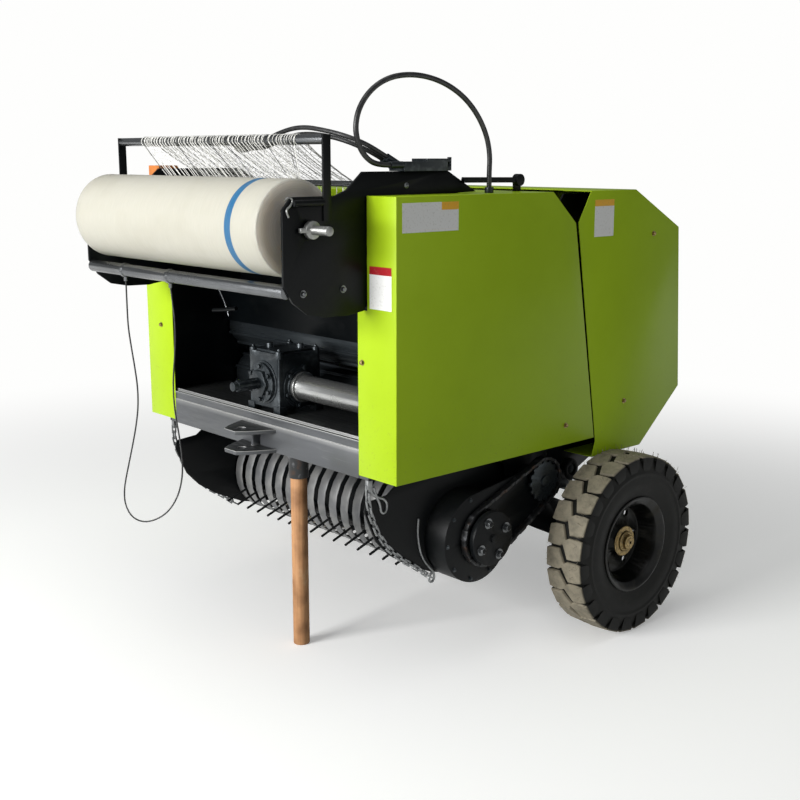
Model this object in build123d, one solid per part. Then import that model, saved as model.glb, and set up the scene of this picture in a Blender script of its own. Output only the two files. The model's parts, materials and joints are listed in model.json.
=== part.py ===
"""Towed round baler with net wrap, parked on its wheels and its prop pole.

Millimetres. +Z is up, -Y is towards the tractor, +X is the machine's left side.
The origin is on the ground, under the middle of the machine.
Points given as pairs are (y, z) unless a table's head says otherwise.
"""
import os
from math import atan2, cos, degrees, hypot, pi, radians, sin, tan

from build123d import *

# Body
WALL_X = 527          # inner face of the chamber side walls
WALL_T = 6
SHEET_T = 3
SHIELD_X = 650        # outer face of the shields
FRONT_Y = -495        # front plane of shields and deck beam
TOP_Z = 1423          # top of the shields
SIDE_BOTTOM_Z = 635   # lower edge of the front shields
LIP_W = 22            # inward lip along it
REAR_BOTTOM_Z = 570   # lower edge of the tailgate shields
SLOPE_TOP_Y = 539
SLOPE_FOOT = (781, 1295)
CHAMFER_TOP = (821, 748)
CHAMFER_FOOT_Y = 612
STRIP_UPPER_X = 530   # inner edge of the front strip beside the net box
STRIP_LOWER_X = 489   # inner edge of the front strip below it
STRIP_STEP_Z = 1111
OUTER_WALL_X = WALL_X + WALL_T
TOP_COVER_Y = -120    # front edge of the sheet over the fixed rollers
COVER_BOTTOM_Z = 900  # lower edge of the tailgate's cover
COVER_LIP = 28
SEAT_GAP = 0.3        # between a piece and what it lies against on another body

# Tailgate hinge and the split line below it
HINGE_Y = 249.5
HINGE_Z = 1327.6
NOTCH_FRONT_Y = 139
NOTCH_REAR_Y = 309
SPLIT_FOOT = (369, 622)
TAIL_LIP_Y = 352
SPLIT_GAP = 8
WALL_SPLIT_Y = 270    # split between the fixed and the tailgate side walls
HINGE_PIN_R = 14
HINGE_BOSS_R = 30
HINGE_EAR_X = 30      # how far the fixed ear stands out from the wall

# Chamber and its rollers
CHAMBER_Y = 245
CHAMBER_Z = 905
ROLLER_R = 80
SHIELD_CLEAR = 38     # between the rear roller and the tailgate's rear edge
RING_R = SLOPE_FOOT[0] - CHAMBER_Y - ROLLER_R - SHIELD_CLEAR
ROLLER_RIB_H = 9
ROLLER_RIB_W = 9
ROLLER_RIBS = 9
ROLLER_WALL = 5
ROLLER_END_GAP = 6
SHAFT_R = 17.5
RUN = 0.05            # running clearance of a shaft in its bearing
BEARING_R = 36
BEARING_L = 20
FEED_Y = 167          # feed roller, on whose shaft the pickup swings
FEED_Z = 521
FEED_R = 40

# Deck beam, hitch and prop
DECK_Z = 736
DECK_T = 8
BEAM_BOTTOM_Z = 625
BEAM_DEPTH = 80
BEAM_WALL = 5
DECK_REAR_Y = -245
HITCH_Y = -560
HITCH_PIN_R = 13.5
HITCH_TIP_Y = -604
HITCH_PLATE_T = 12
HITCH_UPPER_Z = 700   # top face of the upper plate
HITCH_GAP = 51
HITCH_ROOT_W = 186
HITCH_TIP_W = 84
POLE_X = 142
POLE_Y = -447
POLE_R = 26
SOCKET_WALL = 4
SOCKET_L = 75
SOCKET_GAP = 1.0

# Gearbox and drive
GEAR_HALF_W = 80
GEAR_FRONT_Y = -470
GEAR_REAR_Y = -303
GEAR_BOTTOM_Z = 755
GEAR_TOP_Z = 934
PTO_Z = 833
PTO_R = 17.5
PTO_TIP_Y = -588
PTO_PILOT_L = 16      # plain end in front of the splines
PTO_PILOT_R = 14
PTO_CORE_R = 15       # between the splines
GEAR_CAP_R = 62
GEAR_LUG_R = 12       # lug on each upper corner
GEAR_FOOT_H = GEAR_BOTTOM_Z - DECK_Z
DRIVE_Y = -385
DRIVE_Z = 820
DRIVE_R = 39
DRIVE_WALL = 4

# Net box
NET_T = 8
NET_X = WALL_X - NET_T
ROLL_Y = -690
ROLL_Z = 1340
ROLL_R = 131
ROLL_X = (-509, 472)
CORE_R = 38
SPINDLE_R = 12.5
SPINDLE_X = (-560, 614)
PIPE_Y = -761
PIPE_Z = 1181
PIPE_R = 18.5
ARM_Y = -632
ARM_W = 26
ARM_L = 223
ROD_R = 9             # rear rod
FRONT_ROD_R = 13
ROD_RISE = 231        # front rod above the roll's axis
ROD_Z = ROLL_Z + ROD_RISE
ARM_TOP_Z = ROD_Z + FRONT_ROD_R
REAR_ROD_Y = -345
REAR_ROD_Z = 1448
BRACKET_TOP_Z = 1487
TRIP_BAR_Y = -130     # rear end of the trip bar
TRIP_PIVOT = (111, BRACKET_TOP_Z - 30)
VALVE_REAR_Y = -196
VALVE_H = 34
NET_SHEET_T = 3
NET_SHEET_X = (-382, 425)
NET_SKEW = -118       # in x from the front rod to the rear rod
NET_CELLS = (12, 4)   # openings across and along
NET_BAR = 14          # between two openings
NET_LEAVE = 189       # angle at which the net meets the front rod

# Wheels
AXLE_Y = 422
AXLE_Z = 295
AXLE_HALF = 30        # half the side of the square beam
AXLE_BEAM_X = 600
STUB_R = 20
TYRE_R = 295
TYRE_X = (659, 799)
LUG_H = 11
SIDE_R = 228          # widest part of the sidewall
SHOULDER_IN = 5
LUGS = 20
RIM_R = 157
RIM_X = (TYRE_X[0] + 12, TYRE_X[1] - 7)
SEAT_R = 138          # where the tyre's bead sits on the rim
FLANGE_FOOT_R = RIM_R - 14
HUB_NUT_X = 770       # outer end of the hub's nut
HUB_NUT_L = 30

# Pickup
REEL_Y = -98
REEL_Z = 395
PICKUP_X = 505        # inner face of the pickup side plates
PICKUP_T = 6
BAND_R = 150
BAND_T = 3
BAND_W = 38
BAND_PITCH = 60
BANDS = 17
TINE_TIP_R = 236
TINE_ANGLE = 80       # of the first tine bar
TINE_BARS = 3
TINE_BAR_PATH_R = 115
TINE_BAR_R = 11
TINE_D = 6
REEL_DRUM_R = TINE_BAR_PATH_R - 9
REEL_WALL = 5
DRUM_Y = -118         # cam drum on the left side plate
DRUM_Z = 392
DRUM_R = 140
DRUM_WALL = 5
DRUM_MOUTH_R = 120    # opening in the side plate behind the drum
DRUM_OUT_X = 594
FACE_T = 6            # plate over the drum that carries the chain drive
FEED_END_R = 52       # its rounded end on the feed roller's shaft
SPROCKET_X = 608
SPROCKET_W = 8
SPROCKET_R = 84
FEED_SPROCKET_R = 66
CLUTCH_X = (628, 646)
CLUTCH_R = 84
CLUTCH_STUD_L = 16
FEED_DISC_R = 76      # round plate behind the upper sprocket
REAR_BAR_Y = 180
REAR_BAR_Z = 392
REAR_BAR_H = 36
CHAIN_PITCH = 25.4
CHAIN_W = 22

# Tailgate cylinders, in (y, z)
CYL_X = 600
CYL_BASE = (-69, 1002)
CYL_EYE = (288, 1251)
CYL_R = 24
CYL_ROD_R = 12
CYL_STROKE = 90
CYL_PIN_R = 10
CYL_EYE_W = 16
LUG_GAP = 1.5         # between the rod and the tailgate's lug

# Cords and their fittings
HOSE_D = 15
FEED_D = 13
TRIP_D = 5
FERRULE_R = 10
FERRULE_L = 48
COUPLER_R = 12
CORD_GAP = 0.6        # between a cord's end and its fitting


def block(x0, x1, y0, y1, z0, z1):
    """Box between two corners."""
    return Pos((x0 + x1) / 2, (y0 + y1) / 2, (z0 + z1) / 2) * Box(x1 - x0, y1 - y0, z1 - z0)


def bar_x(y, z, r, x0, x1):
    """Round bar along X."""
    return Pos((x0 + x1) / 2, y, z) * Rot(Y=90) * Cylinder(r, x1 - x0)


def bar_y(x, z, r, y0, y1):
    """Round bar along Y."""
    return Pos(x, (y0 + y1) / 2, z) * Rot(X=90) * Cylinder(r, y1 - y0)


def bar_z(x, y, r, z0, z1):
    """Round bar along Z."""
    return Pos(x, y, (z0 + z1) / 2) * Cylinder(r, z1 - z0)


def prism(points, x0, x1):
    """Outline of (y, z) points as a plate between two X planes."""
    face = Plane.YZ.offset(x0) * make_face(Polyline(*points, close=True))
    return extrude(face, amount=x1 - x0)


def inset(points, shifts):
    """Outline with each edge moved inwards by its own distance (counter-clockwise points)."""
    lines = []
    for i, (a, b) in enumerate(zip(points, points[1:] + points[:1])):
        dy, dz = b[0] - a[0], b[1] - a[1]
        length = hypot(dy, dz)
        ny, nz = -dz / length, dy / length
        lines.append((a[0] + ny * shifts[i], a[1] + nz * shifts[i], dy, dz))
    result = []
    for (y0, z0, dy0, dz0), (y1, z1, dy1, dz1) in zip(lines[-1:] + lines[:-1], lines):
        along = ((y1 - y0) * dz1 - (z1 - z0) * dy1) / (dy0 * dz1 - dz0 * dy1)
        result.append((y0 + along * dy0, z0 + along * dz0))
    return result


def strip(path, thickness):
    """Outline of a bent strip about a path of (y, z) points."""
    left, right = [], []
    for i, p in enumerate(path):
        before = path[max(i - 1, 0)]
        after = path[min(i + 1, len(path) - 1)]
        a0 = atan2(p[1] - before[1], p[0] - before[0]) if i else None
        a1 = atan2(after[1] - p[1], after[0] - p[0]) if i < len(path) - 1 else None
        a0 = a1 if a0 is None else a0
        a1 = a0 if a1 is None else a1
        half_turn = (((a1 - a0 + pi) % (2 * pi)) - pi) / 2
        normal = a0 + half_turn + pi / 2
        reach = thickness / 2 / cos(half_turn)
        left.append((p[0] + reach * cos(normal), p[1] + reach * sin(normal)))
        right.append((p[0] - reach * cos(normal), p[1] - reach * sin(normal)))
    return left + right[::-1]


def other_side(solid):
    """The same piece on the machine's right."""
    return mirror(solid, about=Plane.YZ)


def polar(y, z, r, angle):
    """Point at a distance and angle from (y, z); 0 degrees is towards +Y, 90 is up."""
    return (y + r * cos(radians(angle)), z + r * sin(radians(angle)))


# Chamber rollers: name, angle round the chamber
FIXED_ROLLERS = [("roller_1", 102), ("roller_2", 126.5), ("roller_3", 151), ("roller_4", 175.5),
                 ("roller_5", 200)]
TAILGATE_ROLLERS = [("tail_roller_1", 73), ("tail_roller_2", 44), ("tail_roller_3", 15),
                    ("tail_roller_4", -14), ("tail_roller_5", -43), ("tail_roller_6", -72)]


def roller_centre(angle):
    return polar(CHAMBER_Y, CHAMBER_Z, RING_R, angle)


# Shields

def front_notch_line(offset):
    """Front shield's edge along the notch and the split, moved forward by an offset."""
    side = [(NOTCH_FRONT_Y, TOP_Z), (HINGE_Y, HINGE_Z), SPLIT_FOOT]
    top = (side[0][0] - offset, side[0][1])
    apex = (side[1][0] - 1.6 * offset, side[1][1])
    return [top, apex, (SPLIT_FOOT[0] - offset, SIDE_BOTTOM_Z)]


def front_shield():
    half_gap = SPLIT_GAP / 2
    edge = front_notch_line(half_gap)
    outline = [(FRONT_Y, SIDE_BOTTOM_Z), edge[2], edge[1], edge[0], (FRONT_Y, TOP_Z)]
    panel = prism(outline, SHIELD_X - SHEET_T, SHIELD_X)
    upper = block(STRIP_UPPER_X, SHIELD_X, FRONT_Y, FRONT_Y + SHEET_T, STRIP_STEP_Z, TOP_Z)
    lower = block(STRIP_LOWER_X, SHIELD_X, FRONT_Y, FRONT_Y + SHEET_T, SIDE_BOTTOM_Z, STRIP_STEP_Z)
    top = block(OUTER_WALL_X, SHIELD_X, FRONT_Y, edge[0][0], TOP_Z - SHEET_T, TOP_Z)
    lip = block(SHIELD_X - LIP_W, SHIELD_X, FRONT_Y, edge[2][0] - LIP_W, SIDE_BOTTOM_Z,
                SIDE_BOTTOM_Z + SHEET_T)
    return panel + upper + lower + top + lip


def tail_shield_outline():
    half_gap = SPLIT_GAP / 2
    return [(TAIL_LIP_Y + half_gap, REAR_BOTTOM_Z), (CHAMFER_FOOT_Y, REAR_BOTTOM_Z), CHAMFER_TOP,
            SLOPE_FOOT, (SLOPE_TOP_Y, TOP_Z), (NOTCH_REAR_Y + half_gap, TOP_Z),
            (HINGE_Y + 1.6 * half_gap, HINGE_Z), (SPLIT_FOOT[0] + half_gap, SPLIT_FOOT[1])]


def tail_shield():
    """Panel with a flange round its bottom, rear and top; open towards the front."""
    outline = tail_shield_outline()
    open_edge = -SPLIT_GAP * 5
    shifts = [SHEET_T, SHEET_T, SHEET_T, SHEET_T, SHEET_T, open_edge, open_edge, open_edge]
    shell = prism(outline, OUTER_WALL_X, SHIELD_X)
    return shell - prism(inset(outline, shifts), OUTER_WALL_X - 1, SHIELD_X - SHEET_T)


# Chamber side walls

def fixed_wall():
    front = FRONT_Y + SHEET_T
    top = TOP_Z - SHEET_T
    outline = [(front, BEAM_BOTTOM_Z), (45, 620), (75, 560), (75, 440), (125, 395), (187, 350),
               (237, 325), (AXLE_Y - 52, AXLE_Z - 33), (AXLE_Y + 52, AXLE_Z - 33),
               (AXLE_Y + 52, AXLE_Z + 50), (WALL_SPLIT_Y - SPLIT_GAP / 2, 440),
               (WALL_SPLIT_Y - SPLIT_GAP / 2, HINGE_Z - 45), (HINGE_Y - 46, HINGE_Z - 10),
               (NOTCH_FRONT_Y - SPLIT_GAP, top), (front, top)]
    wall = prism(outline, WALL_X, OUTER_WALL_X)
    centres = [roller_centre(angle) for _, angle in FIXED_ROLLERS] + [(FEED_Y, FEED_Z)]
    for y, z in centres:
        wall += bar_x(y, z, BEARING_R, OUTER_WALL_X, OUTER_WALL_X + BEARING_L)
        wall -= bar_x(y, z, SHAFT_R + RUN, WALL_X, OUTER_WALL_X + BEARING_L)
    ear = strip([(HINGE_Y - 75, HINGE_Z - 62), (HINGE_Y, HINGE_Z)], 2 * HINGE_BOSS_R - 8)
    hinge_x = OUTER_WALL_X + HINGE_EAR_X
    arm = prism(ear, OUTER_WALL_X, hinge_x)
    arm += bar_x(HINGE_Y, HINGE_Z, HINGE_BOSS_R, OUTER_WALL_X + 8, hinge_x)
    arm -= bar_x(HINGE_Y, HINGE_Z, HINGE_BOSS_R + 8, WALL_X, OUTER_WALL_X + 8)
    wall += arm
    wall += bar_x(HINGE_Y, HINGE_Z, HINGE_PIN_R, WALL_X - 4, hinge_x)
    y, z = CYL_BASE
    wall += bar_x(y, z, CYL_PIN_R, OUTER_WALL_X, CYL_X + 22)
    axle = block(WALL_X, OUTER_WALL_X, AXLE_Y - AXLE_HALF, AXLE_Y + AXLE_HALF, AXLE_Z - AXLE_HALF,
                 AXLE_Z + AXLE_HALF)
    return wall - axle


def tail_wall():
    """Side wall of the tailgate, its hinge eye, the roller bearings and the rod's lug."""
    front = WALL_SPLIT_Y + SPLIT_GAP / 2
    inner = inset(tail_shield_outline(), [4, 12, 12, 12, 12, 12, 12, 12])
    low_y, low_z = roller_centre(TAILGATE_ROLLERS[-1][1])
    outline = [(front, low_z - BEARING_R - 16), (low_y + BEARING_R + 20, low_z - 8), *inner[1:5],
               (NOTCH_REAR_Y + 12, inner[4][1]), (front, HINGE_Z + 20)]
    wall = prism(outline, WALL_X, OUTER_WALL_X)
    wall += bar_x(HINGE_Y, HINGE_Z, HINGE_BOSS_R - 4, WALL_X, OUTER_WALL_X)
    for _, angle in TAILGATE_ROLLERS:
        y, z = roller_centre(angle)
        wall += bar_x(y, z, BEARING_R, WALL_X, OUTER_WALL_X + BEARING_L)
        wall -= bar_x(y, z, SHAFT_R + RUN, WALL_X, OUTER_WALL_X + BEARING_L)
    y, z = CYL_EYE
    lug = strip([(y, z), (y + 75, z - 30)], 44)
    wall += prism(lug, OUTER_WALL_X, CYL_X - CYL_ROD_R - LUG_GAP)
    return wall - bar_x(HINGE_Y, HINGE_Z, HINGE_PIN_R + RUN, WALL_X, OUTER_WALL_X)


def tailgate_walls():
    left = tail_wall()
    return Compound(children=[left, other_side(left)])


def tailgate_ties():
    """Square tubes that tie both side walls across the back."""
    ties = []
    for y, z in [(SLOPE_FOOT[0] - 40, SLOPE_FOOT[1] - 55), (CHAMFER_TOP[0] - 45, CHAMFER_TOP[1] + 52),
                 (CHAMFER_TOP[0] - 131, CHAMFER_TOP[1] - 58)]:
        tie = block(-WALL_X, WALL_X, y - 20, y + 20, z - 20, z + 20)
        ties.append(tie - block(-WALL_X, WALL_X, y - 16, y + 16, z - 16, z + 16))
    return Compound(children=ties)


def tailgate_cover():
    """Green sheet between the tailgate shields, from the top down to mid height."""
    rear = tail_shield_outline()
    share = (SLOPE_FOOT[1] - COVER_BOTTOM_Z) / (SLOPE_FOOT[1] - CHAMFER_TOP[1])
    foot_y = SLOPE_FOOT[0] + share * (CHAMFER_TOP[0] - SLOPE_FOOT[0])
    front = (NOTCH_REAR_Y + 30, TOP_Z)
    outline = [(front[0], COVER_BOTTOM_Z), (foot_y, COVER_BOTTOM_Z), rear[3], rear[4], front]
    inner = inset(outline, [0, SHEET_T, SHEET_T, SHEET_T, 0])
    skin = [outline[1], outline[2], outline[3], outline[4], inner[4], inner[3], inner[2], inner[1]]
    cover = prism(skin, -OUTER_WALL_X, OUTER_WALL_X)
    lip = block(2 - WALL_X, WALL_X - 2, foot_y - COVER_LIP, foot_y - SHEET_T, COVER_BOTTOM_Z,
                COVER_BOTTOM_Z + SHEET_T)
    return cover + lip


def top_cover():
    """Sheet over the fixed rollers, resting on both walls."""
    y1 = NOTCH_FRONT_Y - SPLIT_GAP
    sheet = block(-OUTER_WALL_X, OUTER_WALL_X, TOP_COVER_Y, y1, TOP_Z - SHEET_T, TOP_Z)
    lip = block(-NET_X, NET_X, TOP_COVER_Y, TOP_COVER_Y + SHEET_T, TOP_Z - 33, TOP_Z)
    return sheet + lip


# Frame across the front

def deck_beam():
    y0 = FRONT_Y + SHEET_T
    beam = block(-WALL_X, WALL_X, y0, y0 + BEAM_DEPTH, BEAM_BOTTOM_Z, DECK_Z - DECK_T)
    beam -= block(-WALL_X, WALL_X, y0 + BEAM_WALL, y0 + BEAM_DEPTH - BEAM_WALL,
                  BEAM_BOTTOM_Z + BEAM_WALL, DECK_Z - DECK_T - BEAM_WALL)
    deck = block(-WALL_X, WALL_X, y0, DECK_REAR_Y, DECK_Z - DECK_T, DECK_Z)
    face = block(-STRIP_LOWER_X, STRIP_LOWER_X, FRONT_Y, y0, BEAM_BOTTOM_Z, DECK_Z - 27)
    lip = block(-STRIP_LOWER_X, STRIP_LOWER_X, FRONT_Y, y0, DECK_Z - DECK_T, DECK_Z)
    rear = block(-WALL_X, WALL_X, DECK_REAR_Y - 8, DECK_REAR_Y, DECK_Z - 60, DECK_Z)
    ridge = block(-WALL_X, WALL_X, y0 + 8, y0 + 14, DECK_Z, DECK_Z + 8)
    return beam + deck + face + lip + rear + ridge


def hitch_plate(top_z):
    half_root = HITCH_ROOT_W / 2
    half_tip = HITCH_TIP_W / 2
    face = Plane.XY.offset(top_z - HITCH_PLATE_T) * make_face(Polyline(
        (-half_root, FRONT_Y), (half_root, FRONT_Y), (half_tip + 12, HITCH_TIP_Y + 30),
        (half_tip - 12, HITCH_TIP_Y), (12 - half_tip, HITCH_TIP_Y), (-half_tip - 12, HITCH_TIP_Y + 30),
        close=True))
    plate = extrude(face, amount=HITCH_PLATE_T)
    return plate - bar_z(0, HITCH_Y, HITCH_PIN_R, top_z - HITCH_PLATE_T, top_z)


def hitch():
    """Two plates welded to the beam's face, joined by a web beside it."""
    upper = hitch_plate(HITCH_UPPER_Z)
    lower = hitch_plate(HITCH_UPPER_Z - HITCH_PLATE_T - HITCH_GAP)
    web_z = HITCH_UPPER_Z - HITCH_PLATE_T - HITCH_GAP
    web = block(-6, 6, FRONT_Y - 26, FRONT_Y, web_z, web_z + HITCH_GAP)
    return upper + lower + web


def prop_socket():
    outer = POLE_R + SOCKET_GAP + SOCKET_WALL
    z0 = BEAM_BOTTOM_Z - SOCKET_L
    tube = bar_z(POLE_X, POLE_Y, outer, z0, BEAM_BOTTOM_Z)
    tube += bar_z(POLE_X, POLE_Y, outer + 4, BEAM_BOTTOM_Z - 8, BEAM_BOTTOM_Z)
    return tube - bar_z(POLE_X, POLE_Y, POLE_R + SOCKET_GAP, z0, BEAM_BOTTOM_Z)


def prop_pole():
    return bar_z(POLE_X, POLE_Y, POLE_R, 0, BEAM_BOTTOM_Z)


# Gearbox and drive

def gearbox():
    """Cast housing on four feet, with a round flange at the front and on each side."""
    w = GEAR_HALF_W
    y0, y1, z0, z1 = GEAR_FRONT_Y, GEAR_REAR_Y, GEAR_BOTTOM_Z, GEAR_TOP_Z
    body = block(2 - w, w - 2, y0 + 2, y1 - 2, z0, z1 - 6)
    body = fillet(body.edges().filter_by(Axis.Z), 5)
    lid = Pos(0, (y0 + y1) / 2) * RectangleRounded(2 * w - 28, y1 - y0 - 28, 16)
    body += extrude(Plane.XY.offset(z1 - 6) * lid, amount=6)
    for x in (GEAR_LUG_R - w, w - GEAR_LUG_R):
        for y in (y0 + GEAR_LUG_R, y1 - GEAR_LUG_R):
            body += bar_z(x, y, GEAR_LUG_R, z1 - 20, z1 + 2)
            body += block(x - 16, x + 16, y - 14, y + 14, z0 - GEAR_FOOT_H, z0 + 8)
    body += bar_y(0, PTO_Z, GEAR_CAP_R + 6, y0 - 2, y0 + 12)
    body += bar_y(0, PTO_Z, GEAR_CAP_R, y0 - 12, y0 - 2)
    cap = Plane(origin=(0, y0 - 12, PTO_Z), x_dir=(1, 0, 0), z_dir=(0, -1, 0)) * RegularPolygon(44, 6)
    body += extrude(cap, amount=12)
    for side in (-1, 1):
        x0, x1, x2 = side * (w - 14), side * (w + 2), side * (w + 8)
        body += bar_x(DRIVE_Y, DRIVE_Z, GEAR_CAP_R + 4, min(x0, x1), max(x0, x1))
        body += bar_x(DRIVE_Y, DRIVE_Z, GEAR_CAP_R - 8, min(x1, x2), max(x1, x2))
    for x, y in [(-38, DRIVE_Y - 31), (36, DRIVE_Y + 33)]:
        body += bar_z(x, y, 11, z1, z1 + 14)
    return body - bar_y(0, PTO_Z, PTO_R + RUN, y0 - 24, DRIVE_Y)


def pto_shaft():
    """Splined input shaft, its neck running in the gearbox cap."""
    neck_y = GEAR_FRONT_Y - 34
    neck = bar_y(0, PTO_Z, PTO_R, neck_y, GEAR_FRONT_Y + 60)
    core = bar_y(0, PTO_Z, PTO_CORE_R, PTO_TIP_Y + PTO_PILOT_L, neck_y)
    pilot = bar_y(0, PTO_Z, PTO_PILOT_R, PTO_TIP_Y, PTO_TIP_Y + PTO_PILOT_L)
    teeth = []
    for i in range(6):
        tooth = block(-4.3, 4.3, PTO_TIP_Y + PTO_PILOT_L, neck_y, 0, PTO_R)
        teeth.append(Pos(0, 0, PTO_Z) * Rot(Y=60 * i) * tooth)
    return neck + core + pilot + teeth


def drive_tube():
    x0 = GEAR_HALF_W + 8
    tube = bar_x(DRIVE_Y, DRIVE_Z, DRIVE_R, x0, WALL_X)
    tube += bar_x(DRIVE_Y, DRIVE_Z, DRIVE_R + 22, WALL_X - 9, WALL_X)
    tube += bar_x(DRIVE_Y, DRIVE_Z, DRIVE_R + 9, x0, x0 + 12)
    return tube - bar_x(DRIVE_Y, DRIVE_Z, DRIVE_R - DRIVE_WALL, x0, WALL_X)


# Net box

NET_PLATE = [(-775, 1199), (-746, 1152), (-700, 1118), (-640, 1106), (-560, 1104), (-506, 1112),
             (-430, 1200), (-400, 1330), (-380, 1400), (-140, 1424), (-70, 1426),
             (-186, BRACKET_TOP_Z),
             (-505, BRACKET_TOP_Z), (-560, 1440), (-600, 1425), (-746, 1425), (-775, 1392)]


def net_plate():
    """Side plate of the net box with its upright arm and the bracket behind it."""
    plate = prism(NET_PLATE, NET_X, WALL_X)
    plate += block(WALL_X, WALL_X + 6, ARM_Y - ARM_W / 2, ARM_Y + ARM_W / 2, ARM_TOP_Z - ARM_L, ARM_TOP_Z)
    plate -= bar_x(ROLL_Y, ROLL_Z, SPINDLE_R, NET_X, WALL_X + 6)
    return plate - bar_x(REAR_ROD_Y, REAR_ROD_Z, ROD_R, NET_X, WALL_X)


def net_rods():
    """Guide pipe below the roll and the two rods that the net passes over."""
    pipe = bar_x(PIPE_Y, PIPE_Z, PIPE_R, -NET_X, NET_X)
    for x, y, z in (TRIP_CORD[0], TRIP_CORD[-1]):
        pipe += bar_x(PIPE_Y, PIPE_Z, PIPE_R + 3, x - 7, x + 7)
        pipe += bar_z(x, y, 6, z + CORD_GAP, PIPE_Z)
    front = bar_x(ARM_Y, ROD_Z, FRONT_ROD_R, -WALL_X, WALL_X)
    rear = bar_x(REAR_ROD_Y, REAR_ROD_Z, ROD_R, -WALL_X, WALL_X)
    return Compound(children=[pipe, front, rear])


def net_spindle():
    rod = bar_x(ROLL_Y, ROLL_Z, SPINDLE_R, *SPINDLE_X)
    nut = bar_x(ROLL_Y, ROLL_Z, 24, WALL_X + 6, WALL_X + 20)
    wings = block(WALL_X + 8, WALL_X + 18, ROLL_Y - 40, ROLL_Y + 40, ROLL_Z - 6, ROLL_Z + 6)
    collar = bar_x(ROLL_Y, ROLL_Z, 24, -WALL_X - 16, -WALL_X)
    return rod + nut + wings + collar


def net_core():
    x0, x1 = ROLL_X[0] - 6, ROLL_X[1] + 30
    core = bar_x(ROLL_Y, ROLL_Z, CORE_R, x0, x1)
    core -= bar_x(ROLL_Y, ROLL_Z, CORE_R - 5, x0 + 12, x1 - 12)
    return core - bar_x(ROLL_Y, ROLL_Z, SPINDLE_R + RUN, x0, x1)


def net_roll():
    roll = bar_x(ROLL_Y, ROLL_Z, ROLL_R, *ROLL_X)
    return roll - bar_x(ROLL_Y, ROLL_Z, CORE_R, *ROLL_X)


def net_web():
    """Net from the roll's back over the front rod and down to the rear rod, as a coarse grid."""
    run = degrees(atan2(REAR_ROD_Z - ROD_Z, REAR_ROD_Y - ARM_Y)) + 90
    start = polar(ROLL_Y, ROLL_Z, ROLL_R + NET_SHEET_T / 2 + SEAT_GAP, 62)
    bends = 4
    ease = cos(radians((NET_LEAVE - run) / bends / 2))
    front_gap = (FRONT_ROD_R + SEAT_GAP) / ease + NET_SHEET_T / 2
    gap = (ROD_R + SEAT_GAP) / ease + NET_SHEET_T / 2
    over = [polar(ARM_Y, ROD_Z, front_gap, NET_LEAVE + (run - NET_LEAVE) * i / bends)
            for i in range(bends + 1)]
    end = [polar(REAR_ROD_Y, REAR_ROD_Z, gap, a) for a in (run, run / 2, 0)]
    path = [start] + over + end + [(end[-1][0], REAR_ROD_Z - 40)]
    left, right = NET_SHEET_X
    front = ARM_Y - 3 * FRONT_ROD_R
    web = prism(strip(path, NET_SHEET_T), left + NET_SKEW - NET_BAR, right + NET_BAR)
    for x, far in ((left, left + 2 * NET_SKEW), (right, right - NET_SKEW)):
        web -= net_cut([(x, front), (x, ARM_Y), (x + NET_SKEW, REAR_ROD_Y), (x + NET_SKEW, 0), (far, 0),
                        (far, front)], REAR_ROD_Z)
    x_step = (NET_SHEET_X[1] - NET_SHEET_X[0]) / NET_CELLS[0]
    y0, y1 = ARM_Y + 2 * FRONT_ROD_R, REAR_ROD_Y - 2 * ROD_R
    y_step = (y1 - y0) / NET_CELLS[1]
    drift = NET_SKEW / (REAR_ROD_Y - ARM_Y)
    for i in range(NET_CELLS[0]):
        for j in range(NET_CELLS[1]):
            low, high = y0 + y_step * j + NET_BAR / 2, y0 + y_step * (j + 1) - NET_BAR / 2
            x = NET_SHEET_X[0] + x_step * i + NET_BAR / 2 - drift * ARM_Y
            end = x + x_step - NET_BAR
            web -= net_cut([(x + drift * low, low), (end + drift * low, low),
                            (end + drift * high, high), (x + drift * high, high)], REAR_ROD_Z)
    return web


def net_cut(corners, bottom):
    """Upright block through the net, from its (x, y) corners."""
    face = make_face(Plane.XY.offset(bottom - 60) * Polyline(*corners, close=True))
    return extrude(face, amount=ARM_TOP_Z - bottom + 120, dir=(0, 0, 1))


def net_chute():
    """Smooth sheet that leads the net from the box to the first rollers."""
    path = [(-500, 1150), (-330, 1118), (-266, 1010), (-262, 960)]
    return prism(strip(path, SHEET_T), -NET_X, NET_X)


def trip_linkage():
    """Bar from the left bracket to a round pivot, which stands on the shield's top."""
    x0, x1 = NET_X, WALL_X
    pivot_y, pivot_z = TRIP_PIVOT
    foot = block(x0, x1, pivot_y - 14, pivot_y + 14, TOP_Z, pivot_z)
    bar = prism(strip([(TRIP_BAR_Y, pivot_z + 3), TRIP_PIVOT], 16), x1, x1 + 8)
    pivot = bar_x(pivot_y, pivot_z, 18, x0, x1 + 12)
    rear = bar_x(TRIP_BAR_Y + 6, pivot_z + 3, 8, x1, x1 + 14)
    return foot + bar + pivot + rear


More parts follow.
